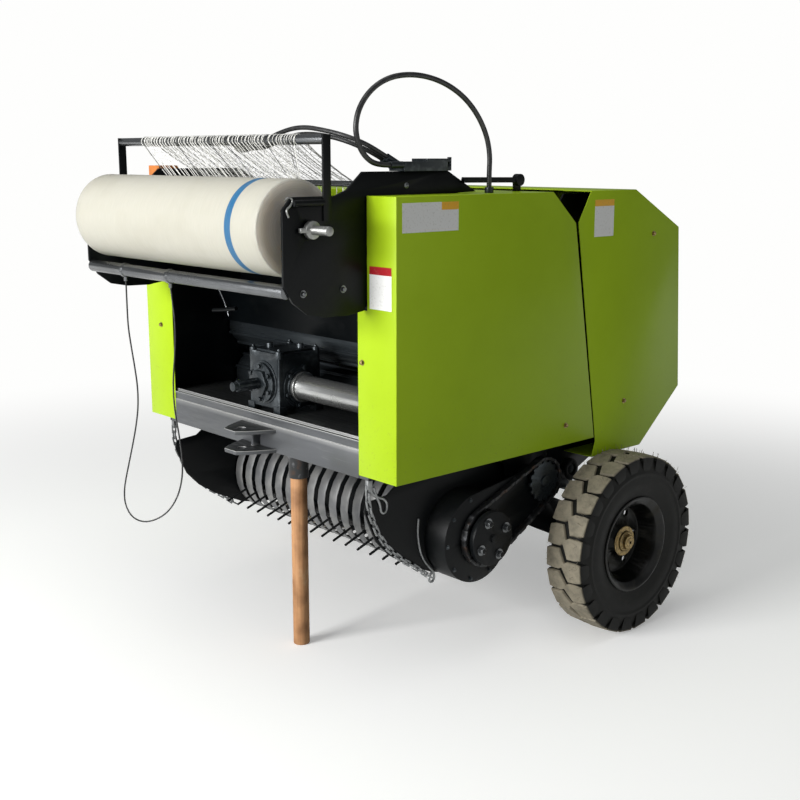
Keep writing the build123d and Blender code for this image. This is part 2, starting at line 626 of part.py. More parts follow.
def hose_block():
    """Valve block on the left bracket, with the fittings that the hoses screw on."""
    front = HOSE_LOOP[-1][1] + FERRULE_L
    x0, x1 = FEED_B[0][0] - 13, WALL_X + 14
    body = block(x0, x1, front, VALVE_REAR_Y, BRACKET_TOP_Z, BRACKET_TOP_Z + VALVE_H - 8)
    body = fillet(body.edges().filter_by(Axis.Z), 6)
    cap_z = BRACKET_TOP_Z + VALVE_H
    body += block(x0 + 6, x1 + 3, VALVE_REAR_Y - 84, VALVE_REAR_Y + 6, cap_z - 8, cap_z)
    body += bar_z(x1 - 10, VALVE_REAR_Y + 12, 6, BRACKET_TOP_Z, cap_z + 4)
    body += block(x1 - 16, x1 - 4, VALVE_REAR_Y - 4, VALVE_REAR_Y + 12, BRACKET_TOP_Z, BRACKET_TOP_Z + 12)
    x, y, z = HOSE_LOOP[-1]
    body += bar_y(x, z, FERRULE_R, y + CORD_GAP, front)
    for route in (FEED_A, FEED_B):
        end = Vector(*route[0])
        back = (end - Vector(*route[1])).normalized()
        length = (front + 4 - end.Y) / back.Y
        start = end + back * CORD_GAP
        body += extrude(Plane(origin=start, z_dir=back) * Circle(FERRULE_R), amount=length)
    x, y, z = HOSE_LOOP[0]
    return Compound(children=[body, bar_z(x, y, FERRULE_R + 3, TOP_Z, z - CORD_GAP)])


def hose_couplers():
    """Quick coupler on the end of each feed hose, lying on the net."""
    pieces = []
    for route in (FEED_A, FEED_B):
        x, y, z = route[-1]
        pieces.append(bar_x(y, z, 10, x - 52, x - CORD_GAP) + bar_x(y, z, COUPLER_R, x - 40, x - 18))
    return Compound(children=pieces)


def cord_tube(name, route, diameter):
    """Round cord along a route of (x, y, z) points, with arcs as large as the runs allow."""
    points = [Vector(*p) for p in route]
    radii = []
    for a, b, c in zip(points, points[1:], points[2:]):
        turn = radians((b - a).get_angle(c - b))
        radii.append(0.45 * min((b - a).length, (c - b).length) / tan(turn / 2))
    path = FilletPolyline(*points, radius=radii)
    section = Plane(origin=path @ 0, z_dir=path % 0) * Circle(diameter / 2)
    tube = sweep(section, path=path)
    print(name, "length", round(path.length), "radii", [round(r) for r in radii],
          "volume share", round(tube.volume / (pi * diameter ** 2 / 4 * path.length), 3))
    return tube


# Columns: x, y, z along each cord, from where it leaves the machine
HOSE_LOOP = [
    (580, -70, 1440), (581, -72, 1478), (580, -68, 1530), (577, -80, 1586), (573, -112, 1641),
    (568, -160, 1688), (562, -222, 1722), (556, -291, 1741), (550, -362, 1745), (545, -430, 1733),
    (541, -486, 1702), (538, -524, 1657), (536, -538, 1609), (534, -529, 1563), (532, -501, 1525),
    (531, -459, 1504), (530, -412, 1504)]
FEED_A = [
    (507, -402, 1526), (506, -440, 1545), (497, -476, 1563), (470, -503, 1578), (428, -519, 1590),
    (376, -527, 1599), (322, -531, 1606), (266, -533, 1605), (214, -535, 1596), (164, -536, 1583),
    (116, -536, 1569), (70, -535, 1562), (26, -534, 1561)]
FEED_B = [
    (484, -398, 1520), (481, -430, 1536), (468, -459, 1551), (441, -480, 1565), (400, -494, 1577),
    (348, -502, 1585), (296, -506, 1589), (242, -509, 1587), (190, -511, 1577), (140, -512, 1563),
    (94, -512, 1553), (50, -511, 1550), (8, -510, 1550)]
TRIP_CORD = [
    (-314, -761, 1146), (-316, -760, 1108), (-320, -758, 1060), (-321, -757, 1000), (-309, -756, 938),
    (-293, -756, 876), (-282, -755, 812), (-285, -755, 747), (-302, -756, 684), (-325, -757, 624),
    (-351, -757, 565), (-378, -756, 509), (-402, -755, 453), (-406, -753, 402), (-374, -752, 369),
    (-322, -752, 362), (-262, -753, 373), (-205, -754, 395), (-150, -755, 424), (-98, -756, 464),
    (-55, -757, 516), (-31, -757, 577), (-30, -757, 640), (-44, -756, 699), (-60, -756, 758),
    (-68, -756, 820), (-62, -757, 882), (-49, -757, 944), (-39, -758, 1007), (-39, -759, 1062),
    (-46, -760, 1108), (-50, -761, 1146)]


def trip_cord():
    return cord_tube("trip_cord", TRIP_CORD, TRIP_D)


def hose_loop():
    return cord_tube("hose_loop", HOSE_LOOP, HOSE_D)


def feed_hose_a():
    return cord_tube("feed_hose_a", FEED_A, FEED_D)


def feed_hose_b():
    return cord_tube("feed_hose_b", FEED_B, FEED_D)


# Axle and wheels

def axle():
    beam = block(-AXLE_BEAM_X, AXLE_BEAM_X, AXLE_Y - AXLE_HALF, AXLE_Y + AXLE_HALF,
                 AXLE_Z - AXLE_HALF, AXLE_Z + AXLE_HALF)
    inner = AXLE_HALF - 6
    beam -= block(-AXLE_BEAM_X, AXLE_BEAM_X, AXLE_Y - inner, AXLE_Y + inner, AXLE_Z - inner,
                  AXLE_Z + inner)
    for side in (-1, 1):
        x0, x1 = sorted((side * (AXLE_BEAM_X - 40), side * (HUB_NUT_X - HUB_NUT_L)))
        beam += bar_x(AXLE_Y, AXLE_Z, STUB_R, x0, x1)
        x2, x3 = sorted((side * (AXLE_BEAM_X - 10), side * AXLE_BEAM_X))
        beam += block(x2, x3, AXLE_Y - AXLE_HALF, AXLE_Y + AXLE_HALF, AXLE_Z - AXLE_HALF,
                      AXLE_Z + AXLE_HALF)
    return beam


def hub_nuts():
    """Cup washer and nut on each stub end."""
    x0 = HUB_NUT_X - HUB_NUT_L
    cup = bar_x(AXLE_Y, AXLE_Z, 34, x0, x0 + 5) + bar_x(AXLE_Y, AXLE_Z, 27, x0, x0 + 12)
    nut = Plane.YZ.offset(x0 + 12) * Pos(AXLE_Y, AXLE_Z) * RegularPolygon(20, 6)
    piece = cup + extrude(nut, amount=14) + bar_x(AXLE_Y, AXLE_Z, 13, x0 + 12, HUB_NUT_X)
    return Compound(children=[piece, other_side(piece)])


def about_axle(profile_points):
    """Ring turned about the wheel's axis from (x, radius) points."""
    face = make_face(Polyline(*profile_points, close=True))
    return Pos(0, AXLE_Y, AXLE_Z) * revolve(face, Axis.X)


def rim():
    """Dished disc with six holes, rim well and hub of a wheel."""
    x0, x1 = RIM_X
    mid = (x0 + x1) / 2
    hub0, hub1 = AXLE_BEAM_X + 6, HUB_NUT_X - HUB_NUT_L - 1
    disc0, disc1 = mid - 30, mid - 18
    outline = [(x0, RIM_R), (x0, RIM_R - 6), (x0 + 14, 130), (disc0, 112), (disc0, 60),
               (hub0, 60), (hub0, STUB_R + RUN), (hub1, STUB_R + RUN), (hub1, 36), (disc1 + 6, 52),
               (disc1, 70), (disc1, 112), (x1 - 14, 130), (x1, RIM_R - 6), (x1, RIM_R),
               (x1 - 5, RIM_R), (x1 - 8, FLANGE_FOOT_R), (x1 - 18, SEAT_R), (x0 + 18, SEAT_R),
               (x0 + 8, FLANGE_FOOT_R), (x0 + 5, RIM_R)]
    wheel = about_axle(outline)
    for i in range(6):
        y, z = polar(AXLE_Y, AXLE_Z, 92, 60 * i)
        wheel -= bar_x(y, z, 11, disc0 - 2, disc1 + 2)
    return wheel


def tyre():
    x0, x1 = TYRE_X
    mid = (x0 + x1) / 2
    half = (x1 - x0) / 2
    base = TYRE_R - LUG_H
    rim0, rim1 = RIM_X
    points = [(rim0 + 18, SEAT_R), (rim0 + 8, FLANGE_FOOT_R), (rim0 + 5, RIM_R), (x0, SIDE_R),
              (x0 + SHOULDER_IN, base), (x1 - SHOULDER_IN, base), (x1, SIDE_R), (rim1 - 5, RIM_R),
              (rim1 - 8, FLANGE_FOOT_R), (rim1 - 18, SEAT_R)]
    body = about_axle(points)
    inner, outer = 5, half - SHOULDER_IN - 1
    step = 2 * pi * TYRE_R / LUGS
    lug_top = (TYRE_R ** 2 - (0.42 * step) ** 2) ** 0.5
    pentagon = [(inner, 0), (inner + 16, -0.42 * step), (outer, -0.42 * step),
                (outer, 0.30 * step), (inner + 16, 0.42 * step)]
    lugs = []
    for side in (-1, 1):
        face = make_face(Polyline(*[(side * x, s) for x, s in pentagon], close=True))
        lug = Pos(mid, 0, base - 8) * extrude(face, amount=lug_top - base + 8, dir=(0, 0, 1))
        for i in range(LUGS):
            angle = 360 / LUGS * (i + (0.5 if side > 0 else 0))
            lugs.append(Pos(0, AXLE_Y, AXLE_Z) * Rot(X=angle) * lug)
    return body + lugs


# Pickup

def pickup_plate():
    """Side plate: swung on the feed roller's shaft, carries reel, bands and cam drum."""
    outline = [(-485, 555), (-492, 529), (-479, 494), (-450, 430), (-400, 378), (-328, 331),
               (-227, 284), (-140, 262), (-40, 262), (60, 312), (205, 350), (212, 420), (205, 500),
               (190, 550), (150, 562), (-40, 600), (-350, 600), (-405, 562)]
    plate = prism(outline, PICKUP_X, PICKUP_X + PICKUP_T)
    plate += bar_x(FEED_Y, FEED_Z, SHAFT_R + 14, PICKUP_X, PICKUP_X + PICKUP_T + 6)
    plate -= bar_x(FEED_Y, FEED_Z, SHAFT_R + RUN, PICKUP_X, PICKUP_X + PICKUP_T + 6)
    return plate


def drive_face():
    """Plate over the cam drum, drawn out to the feed roller's shaft."""
    drum = Pos(DRUM_Y, DRUM_Z) * Circle(DRUM_R)
    end = Pos(FEED_Y, FEED_Z) * Circle(FEED_END_R)
    outline = make_hull(drum.edges() + end.edges())
    plate = extrude(Plane.YZ.offset(DRUM_OUT_X) * outline, amount=FACE_T)
    plate += bar_x(FEED_Y, FEED_Z, FEED_DISC_R, DRUM_OUT_X, DRUM_OUT_X + FACE_T)
    return plate - bar_x(FEED_Y, FEED_Z, SHAFT_R + 2, DRUM_OUT_X, DRUM_OUT_X + FACE_T)


def pickup_frame():
    left = pickup_plate()
    right = other_side(left)
    plate_x = PICKUP_X + PICKUP_T
    left += bar_x(DRUM_Y, DRUM_Z, DRUM_R, plate_x, DRUM_OUT_X)
    left -= bar_x(DRUM_Y, DRUM_Z, DRUM_R - DRUM_WALL, plate_x, DRUM_OUT_X)
    left -= bar_x(DRUM_Y, DRUM_Z, DRUM_MOUTH_R, PICKUP_X, plate_x)
    left += drive_face() + bar_x(REEL_Y, REEL_Z, BEARING_R, DRUM_OUT_X - 14, DRUM_OUT_X)
    left -= bar_x(REEL_Y, REEL_Z, SHAFT_R + RUN, PICKUP_X, DRUM_OUT_X + FACE_T)
    right += bar_x(REEL_Y, REEL_Z, BEARING_R, -plate_x - 14, -plate_x)
    right -= bar_x(REEL_Y, REEL_Z, SHAFT_R + RUN, -plate_x - 14, -PICKUP_X)
    half_h = REAR_BAR_H / 2
    bar = block(-PICKUP_X, PICKUP_X, REAR_BAR_Y - 12, REAR_BAR_Y + 12, REAR_BAR_Z - half_h,
                REAR_BAR_Z + half_h)
    return left + right + bar


def pickup_bands():
    """Curved guard bands between the tine columns, bolted under the rear bar."""
    arc = [polar(REEL_Y, REEL_Z, BAND_R, a) for a in range(90, 271, 15)]
    rear = (REAR_BAR_Y, REAR_BAR_Z - REAR_BAR_H / 2 - BAND_T / 2)
    path = [(90, REEL_Z + BAND_R - 6)] + arc
    path += [(60, REEL_Z - BAND_R + 30), (REAR_BAR_Y - 30, rear[1]), rear]
    outline = strip(path, BAND_T)
    bands = []
    for i in range(BANDS):
        x = BAND_PITCH * (i - (BANDS - 1) / 2)
        bands.append(prism(outline, x - BAND_W / 2, x + BAND_W / 2))
    return Compound(children=bands)


def pickup_reel():
    """Closed drum with three tine bars on it; the tines run between the bands."""
    reach = PICKUP_X - 6
    reel = bar_x(REEL_Y, REEL_Z, REEL_DRUM_R, -reach, reach)
    reel -= bar_x(REEL_Y, REEL_Z, REEL_DRUM_R - REEL_WALL, REEL_WALL - reach, reach - REEL_WALL)
    reel += bar_x(REEL_Y, REEL_Z, SHAFT_R, -PICKUP_X - PICKUP_T - 18, -reach)
    solids = []
    for k in range(TINE_BARS):
        angle = 360 / TINE_BARS * k + TINE_ANGLE
        y, z = polar(REEL_Y, REEL_Z, TINE_BAR_PATH_R, angle)
        solids.append(bar_x(y, z, TINE_BAR_R, -reach, reach))
        tine = strip([(y, z), polar(REEL_Y, REEL_Z, TINE_TIP_R, angle)], TINE_D)
        for i in range(BANDS - 1):
            x = BAND_PITCH * (i - (BANDS - 2) / 2)
            solids.append(prism(tine, x - TINE_D / 2, x + TINE_D / 2))
    return reel + solids


def sprocket(y, z, r, teeth, bore):
    """Toothed disc for the pickup chain."""
    points = []
    for i in range(teeth):
        for part, radius in ((0.0, r - 7), (0.3, r - 7), (0.45, r), (0.85, r)):
            points.append(polar(y, z, radius, 360 / teeth * (i + part)))
    disc = prism(points, SPROCKET_X, SPROCKET_X + SPROCKET_W)
    return disc - bar_x(y, z, bore, SPROCKET_X, SPROCKET_X + SPROCKET_W)


def reel_sprocket():
    """Left stub of the reel's shaft with the lower sprocket and the slip clutch disc."""
    wheel = sprocket(REEL_Y, REEL_Z, SPROCKET_R, 18, SHAFT_R - 4)
    wheel += bar_x(REEL_Y, REEL_Z, SHAFT_R, PICKUP_X - 6, CLUTCH_X[1])
    hub = bar_x(REEL_Y, REEL_Z, 40, SPROCKET_X + SPROCKET_W, CLUTCH_X[0])
    disc = bar_x(REEL_Y, REEL_Z, CLUTCH_R, *CLUTCH_X)
    solid = wheel + hub + disc
    solid += bar_x(REEL_Y, REEL_Z, 13, CLUTCH_X[1], CLUTCH_X[1] + CLUTCH_STUD_L / 2)
    for i in range(4):
        y, z = polar(REEL_Y, REEL_Z, 0.7 * CLUTCH_R, 90 * i + 25)
        solid += bar_x(y, z, 8, CLUTCH_X[1], CLUTCH_X[1] + CLUTCH_STUD_L)
    return solid


def pickup_chain():
    """Chain loop round both sprockets, link by link."""
    gap = 6
    r0, r1 = SPROCKET_R + gap, FEED_SPROCKET_R + gap
    dy, dz = FEED_Y - REEL_Y, FEED_Z - REEL_Z
    span = hypot(dy, dz)
    base = degrees(atan2(dz, dy))
    wrap = degrees(asin_ratio((r0 - r1) / span))
    run = span * cos(radians(wrap))
    path = []
    n_run = round(run / CHAIN_PITCH)
    arc0 = 180 + 2 * wrap
    n0 = round(2 * pi * r0 * arc0 / 360 / CHAIN_PITCH)
    start = base + 90 - wrap
    path += [polar(REEL_Y, REEL_Z, r0, start + arc0 * i / n0) for i in range(n0)]
    a = polar(REEL_Y, REEL_Z, r0, base - 90 + wrap)
    b = polar(FEED_Y, FEED_Z, r1, base - 90 + wrap)
    path += [(a[0] + (b[0] - a[0]) * i / n_run, a[1] + (b[1] - a[1]) * i / n_run) for i in range(n_run)]
    arc1 = 180 - 2 * wrap
    n1 = round(2 * pi * r1 * arc1 / 360 / CHAIN_PITCH)
    path += [polar(FEED_Y, FEED_Z, r1, base - 90 + wrap + arc1 * i / n1) for i in range(n1)]
    c = polar(FEED_Y, FEED_Z, r1, start)
    d = polar(REEL_Y, REEL_Z, r0, start)
    path += [(c[0] + (d[0] - c[0]) * i / n_run, c[1] + (d[1] - c[1]) * i / n_run) for i in range(n_run)]
    mid = SPROCKET_X + SPROCKET_W / 2
    links = []
    for i, (p, q) in enumerate(zip(path, path[1:] + path[:1])):
        half = CHAIN_W / 2 if i % 2 else CHAIN_W / 2 - 3
        long = strip(stretch(p, q, 3), 9)
        links.append(prism(long, mid - half, mid + half))
    return links[0] + links[1:]


def asin_ratio(value):
    """Angle in radians whose sine is the value."""
    return atan2(value, (1 - value * value) ** 0.5)


def stretch(p, q, extra):
    """The run from p to q made longer at both ends."""
    length = hypot(q[0] - p[0], q[1] - p[1])
    ey, ez = (q[0] - p[0]) / length * extra, (q[1] - p[1]) / length * extra
    return [(p[0] - ey, p[1] - ez), (q[0] + ey, q[1] + ez)]


# Columns: route of the lift chains in (y, z), from the strip down beside the pickup plate
LIFT_CHAIN = [(-487, 606), (-488, 566), (-478, 520), (-452, 460), (-410, 402), (-352, 352),
              (-300, 318), (-252, 282), (-222, 262)]
CHAIN_LINK = (30, 17, 4.5)


def lift_chain():
    """Short-link chain from the shield's foot to the pickup plate, links turned in pairs."""
    length, width, wire = CHAIN_LINK
    x = PICKUP_X + PICKUP_T + 0.3 + width / 2
    step = length - 2 * wire + 1
    points = resample(LIFT_CHAIN, step)
    links = []
    for i, (p, q) in enumerate(zip(points, points[1:])):
        angle = degrees(atan2(q[1] - p[1], q[0] - p[0]))
        ring = Box(wire, length, width) - Box(wire, length - 2 * wire, width - 2 * wire)
        turned = Rot(Y=90) * ring if i % 2 else ring
        links.append(Pos(x, (p[0] + q[0]) / 2, (p[1] + q[1]) / 2) * Rot(X=angle) * turned)
    chain = links[0] + links[1:]
    hook = block(x - 6, x + 6, LIFT_CHAIN[0][0] - 5, LIFT_CHAIN[0][0] + 12, LIFT_CHAIN[0][1] - 8,
                 BEAM_BOTTOM_Z)
    return chain + hook


def resample(points, step):
    """Points a fixed step apart along a path of (y, z) points."""
    result = [points[0]]
    rest = step
    for a, b in zip(points, points[1:]):
        length = hypot(b[0] - a[0], b[1] - a[1])
        at = rest
        while at <= length:
            result.append((a[0] + (b[0] - a[0]) * at / length, a[1] + (b[1] - a[1]) * at / length))
            at += step
        rest = at - length
    return result


def lift_chains():
    left = lift_chain()
    return Compound(children=[left, other_side(left)])


# Rollers

def roller(y, z):
    """Ribbed tube with end discs and stub shafts."""
    half = WALL_X - ROLLER_END_GAP
    core_r = ROLLER_R - ROLLER_RIB_H
    section = Circle(core_r)
    for i in range(ROLLER_RIBS):
        rib = Pos(ROLLER_R - ROLLER_RIB_H, 0) * Rectangle(2 * ROLLER_RIB_H, ROLLER_RIB_W)
        section += Rot(Z=360 / ROLLER_RIBS * i) * rib
    section -= Circle(core_r - ROLLER_WALL)
    tube = extrude(Plane.YZ.offset(-half) * section, amount=2 * half)
    for side in (-1, 1):
        x0, x1 = sorted((side * (half - 6), side * half))
        tube += bar_x(0, 0, core_r - 1, x0, x1)
        x2, x3 = sorted((side * (half - 6), side * (OUTER_WALL_X + BEARING_L - 2)))
        tube += bar_x(0, 0, SHAFT_R, x2, x3)
    return Pos(0, y, z) * tube


def feed_roller():
    """Small feed roller between the pickup plates; its shaft carries the upper sprocket."""
    half = PICKUP_X - ROLLER_END_GAP
    solid = bar_x(FEED_Y, FEED_Z, FEED_R - 6, -half, half)
    for i in range(6):
        y, z = polar(FEED_Y, FEED_Z, FEED_R - 10, 60 * i)
        solid += prism(strip([(y, z), polar(FEED_Y, FEED_Z, FEED_R, 60 * i)], 7), -half, half)
    out_x = SPROCKET_X + SPROCKET_W
    solid += bar_x(FEED_Y, FEED_Z, SHAFT_R, -OUTER_WALL_X - BEARING_L + 2, out_x + 8)
    return solid + sprocket(FEED_Y, FEED_Z, FEED_SPROCKET_R, 15, 4)


# Tailgate cylinders

def cylinder_barrel():
    base = Vector(CYL_X, *CYL_BASE)
    eye = Vector(CYL_X, *CYL_EYE)
    along = (eye - base).normalized()
    length = (eye - base).length
    barrel_l = length - 70
    plane = Plane(origin=base + along * 22, x_dir=(1, 0, 0), z_dir=along)
    barrel = extrude(plane * Circle(CYL_R), amount=barrel_l - 22)
    foot = bar_x(*CYL_BASE, 24, CYL_X - 14, CYL_X + 14)
    barrel += foot
    barrel -= bar_x(*CYL_BASE, CYL_PIN_R + RUN, CYL_X - 14, CYL_X + 14)
    bore = extrude(Plane(origin=base + along * 40, x_dir=(1, 0, 0), z_dir=along) * Circle(CYL_ROD_R + RUN),
                   amount=barrel_l)
    return barrel - bore


def cylinder_rod():
    base = Vector(CYL_X, *CYL_BASE)
    eye = Vector(CYL_X, *CYL_EYE)
    along = (eye - base).normalized()
    start = eye - along * (70 + CYL_STROKE + 60)
    plane = Plane(origin=start, x_dir=(1, 0, 0), z_dir=along)
    rod = extrude(plane * Circle(CYL_ROD_R), amount=(eye - start).length - 10)
    half = CYL_EYE_W / 2
    rod += bar_x(*CYL_EYE, 21, CYL_X - half, CYL_X + half)
    rod += bar_x(*CYL_EYE, 11, CYL_X - CYL_ROD_R - LUG_GAP + SEAT_GAP, CYL_X - half)
    return rod + bar_x(*CYL_EYE, 13, CYL_X + half, CYL_X + half + 9)


NODES = {
    "side_wall_left": fixed_wall,
    "shield_front_left": front_shield,
    "tailgate_walls": tailgate_walls,
    "tailgate_ties": tailgate_ties,
    "tailgate_shield_left": tail_shield,
    "tailgate_cover": tailgate_cover,
    "top_cover": top_cover,
    "deck_beam": deck_beam,
    "hitch_clevis": hitch,
    "prop_socket": prop_socket,
    "prop_pole": prop_pole,
    "gearbox": gearbox,
    "pto_shaft": pto_shaft,
    "drive_tube": drive_tube,
    "net_plate_left": net_plate,
    "net_rods": net_rods,
    "net_spindle": net_spindle,
    "net_core": net_core,
    "net_roll": net_roll,
    "net_web": net_web,
    "net_chute": net_chute,
    "trip_linkage": trip_linkage,
    "hose_block": hose_block,
    "axle": axle,
    "hub_nuts": hub_nuts,
    "rim_left": rim,
    "tyre_left": tyre,
    "pickup_frame": pickup_frame,
    "pickup_bands": pickup_bands,
    "pickup_reel": pickup_reel,
    "reel_sprocket": reel_sprocket,
    "pickup_chain": pickup_chain,
    "lift_chains": lift_chains,
    "feed_roller": feed_roller,
    "cylinder_barrel_left": cylinder_barrel,
    "cylinder_rod_left": cylinder_rod,
    "trip_cord": trip_cord,
    "hose_loop": hose_loop,
    "feed_hose_a": feed_hose_a,
    "feed_hose_b": feed_hose_b,
    "hose_couplers": hose_couplers,
}
MIRRORED = ["side_wall", "shield_front", "tailgate_shield", "net_plate", "rim", "tyre",
            "cylinder_barrel", "cylinder_rod"]


def build():
    os.makedirs("parts", exist_ok=True)
    pieces = {name: make() for name, make in NODES.items()}
    for name in MIRRORED:
        pieces[name + "_right"] = other_side(pieces[name + "_left"])
    for name, angle in FIXED_ROLLERS + TAILGATE_ROLLERS:
        pieces[name] = roller(*roller_centre(angle))
    for name, piece in pieces.items():
        export_step(piece, f"parts/{name}.step")


build()
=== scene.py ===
"""Looks of a towed round baler with net wrap, parked on its wheels and its prop pole.

Metres. +Z is up, -Y is towards the tractor, +X is the machine's left side.
"""
import json
import random
from math import cos, pi, radians, sin

import bpy
from mathutils import Matrix, Vector

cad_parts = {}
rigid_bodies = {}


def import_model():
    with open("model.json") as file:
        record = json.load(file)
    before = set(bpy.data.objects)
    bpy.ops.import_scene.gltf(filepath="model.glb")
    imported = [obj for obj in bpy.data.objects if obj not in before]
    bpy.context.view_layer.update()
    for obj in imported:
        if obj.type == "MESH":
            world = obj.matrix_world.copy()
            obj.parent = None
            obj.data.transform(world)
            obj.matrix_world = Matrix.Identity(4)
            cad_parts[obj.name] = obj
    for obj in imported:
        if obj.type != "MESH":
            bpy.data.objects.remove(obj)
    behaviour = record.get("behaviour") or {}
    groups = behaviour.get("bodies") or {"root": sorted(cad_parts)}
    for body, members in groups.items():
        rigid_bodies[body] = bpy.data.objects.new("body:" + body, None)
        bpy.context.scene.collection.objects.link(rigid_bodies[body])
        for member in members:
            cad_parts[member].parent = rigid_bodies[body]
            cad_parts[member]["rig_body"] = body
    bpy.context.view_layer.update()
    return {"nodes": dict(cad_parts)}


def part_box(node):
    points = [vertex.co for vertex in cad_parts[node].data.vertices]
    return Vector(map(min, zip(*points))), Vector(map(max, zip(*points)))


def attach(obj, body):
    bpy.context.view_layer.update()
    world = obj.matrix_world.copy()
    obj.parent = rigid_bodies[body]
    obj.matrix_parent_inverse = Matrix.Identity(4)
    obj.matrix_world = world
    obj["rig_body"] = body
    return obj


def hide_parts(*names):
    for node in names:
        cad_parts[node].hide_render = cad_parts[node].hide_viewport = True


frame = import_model()


# The studio: a pale floor that runs off to white, as in the photograph, with daylight
# from the tractor's end and hardly any from the machine's left.
def linear(code):
    """sRGB hex colour as linear RGBA."""
    parts = [int(code[i:i + 2], 16) / 255 for i in (1, 3, 5)]
    return tuple(c / 12.92 if c <= 0.04045 else ((c + 0.055) / 1.055) ** 2.4 for c in parts) + (1,)


def add(tree, kind, inputs=(), **settings):
    """Adds a node with its settings and links.

    Inputs are (socket, value) pairs. A value may be an output socket, or a node for its first one.
    """
    made = tree.nodes.new(kind)
    for name, value in settings.items():
        setattr(made, name, value)
    for socket, value in inputs:
        if isinstance(value, bpy.types.Node):
            value = value.outputs[0]
        if isinstance(value, bpy.types.NodeSocket):
            tree.links.new(value, made.inputs[socket])
        else:
            made.inputs[socket].default_value = value
    return made


def new_finish(name):
    """Empty material: its node tree and its Object position."""
    material = bpy.data.materials.new(name)
    material.use_nodes = True
    tree = material.node_tree
    tree.nodes.clear()
    place = add(tree, "ShaderNodeTexCoord").outputs["Object"]
    return material, tree, place


def stand(name, data):
    """Puts a new object with this data in the scene."""
    made = bpy.data.objects.new(name, data)
    bpy.context.scene.collection.objects.link(made)
    return made


CAMERA_AT = (2.96994, -2.58158, 1.53095)
CAMERA_AZIMUTH = 47.851
CAMERA_ELEVATION = 11.793
LENS_MM = 52.83
camera = stand("camera", bpy.data.cameras.new("camera"))
camera.location = CAMERA_AT
camera.rotation_euler = (radians(90 - CAMERA_ELEVATION), 0, radians(CAMERA_AZIMUTH))
camera.data.lens = LENS_MM
camera.data.clip_end = 200
bpy.context.scene.camera = camera
bpy.context.scene.view_settings.view_transform = "Standard"

FLOOR_SIZE = 60
FLOOR_GLOW = 0.26
WHITE_FROM, WHITE_TO = 1.6, 4.6  # distances from the machine's middle
bpy.ops.object.select_all(action="DESELECT")
bpy.ops.mesh.primitive_plane_add(size=FLOOR_SIZE, location=(0, 0, 0))
floor = bpy.context.object
floor.name = "floor"
floor_finish, tree, place = new_finish("floor_white")
ray = add(tree, "ShaderNodeLightPath").outputs
seen = add(tree, "ShaderNodeMath", [(0, ray["Is Camera Ray"]), (1, ray["Is Glossy Ray"])],
           operation="MAXIMUM")
tone = add(tree, "ShaderNodeMix", [(0, seen), (6, linear("#a6a7a5")), (7, linear("#f2f2f0"))],
           data_type="RGBA").outputs[2]
grey = add(tree, "ShaderNodeBsdfDiffuse", [("Color", tone)])
glow = add(tree, "ShaderNodeEmission", [("Color", linear("#ffffff")), ("Strength", FLOOR_GLOW)])
off = add(tree, "ShaderNodeEmission", [("Strength", 0.0)])
lit = add(tree, "ShaderNodeMixShader", [(0, seen), (1, off), (2, glow)])
near = add(tree, "ShaderNodeAddShader", [(0, grey), (1, lit)])
away = add(tree, "ShaderNodeVectorMath", [(0, place)], operation="LENGTH").outputs["Value"]
fade = add(tree, "ShaderNodeMapRange", enumerate((away, WHITE_FROM, WHITE_TO, 0.0, 1.0)),
           interpolation_type="SMOOTHSTEP")
fade = add(tree, "ShaderNodeMath", [(0, fade), (1, seen)], operation="MULTIPLY")
plain = add(tree, "ShaderNodeEmission", [("Color", linear("#fefefd")), ("Strength", 1.0)])
both = add(tree, "ShaderNodeMixShader", [(0, fade), (1, near), (2, plain)])
add(tree, "ShaderNodeOutputMaterial", [("Surface", both)])
floor.data.materials.append(floor_finish)

SKY_STRENGTH = 0.22
world = bpy.data.worlds.new("studio")
bpy.context.scene.world = world
world.use_nodes = True
tree = world.node_tree
tree.nodes.clear()
ray = add(tree, "ShaderNodeLightPath").outputs
sky = add(tree, "ShaderNodeBackground", [("Color", linear("#eef2f4")), ("Strength", SKY_STRENGTH)])
white = add(tree, "ShaderNodeBackground", [("Color", linear("#fefefd")), ("Strength", 1.0)])
shown = add(tree, "ShaderNodeMixShader", [(0, ray["Is Camera Ray"]), (1, sky), (2, white)])
add(tree, "ShaderNodeOutputWorld", [("Surface", shown)])

# Columns: name, watts, size in metres, place, point that it faces
LAMPS = [("front_light", 545, 3.0, (-0.6, -6.5, 2.35), (0, 0, 0.8)),
         ("top_light", 62, 4.0, (0.3, -0.8, 5.4), (0, 0, 0.8)),
         ("side_fill", 14, 3.0, (5.2, 0.8, 2.2), (0, 0, 0.8))]
for name, watts, size, at, facing in LAMPS:
    lamp = stand(name, bpy.data.lights.new(name, "AREA"))
    lamp.data.energy = watts
    lamp.data.size = size
    lamp.location = at
    lamp.rotation_euler = (Vector(facing) - Vector(at)).to_track_quat("-Z", "Y").to_euler()


# Cords. A thin trip cord hangs from the net pipe in one long loop down to the height of the
# pickup. Oil hoses of black rubber run from the valve block: one in a high loop to the left
# shield's top, and two thin ones over the net's rod to quick couplers that lie on the net.
def position_bump(tree, place, scale, detail, strength, distance):
    """Fine unevenness of a surface, as a normal."""
    noise = add(tree, "ShaderNodeTexNoise",
                [("Vector", place), ("Scale", scale), ("Detail", detail)])
    return add(tree, "ShaderNodeBump", [("Height", noise), ("Strength", strength),
                                        ("Distance", distance)])


def lay_over(tree, under, over, value, start=0.0, end=1.0, low=0.0, high=1.0):
    """Colour over another: its share goes from low to high as the value goes from start to end."""
    share = add(tree, "ShaderNodeMapRange", enumerate((value, start, end, low, high)))
    mix = add(tree, "ShaderNodeMix", [(0, share), (6, under), (7, over)], data_type="RGBA")
    return mix.outputs[2]


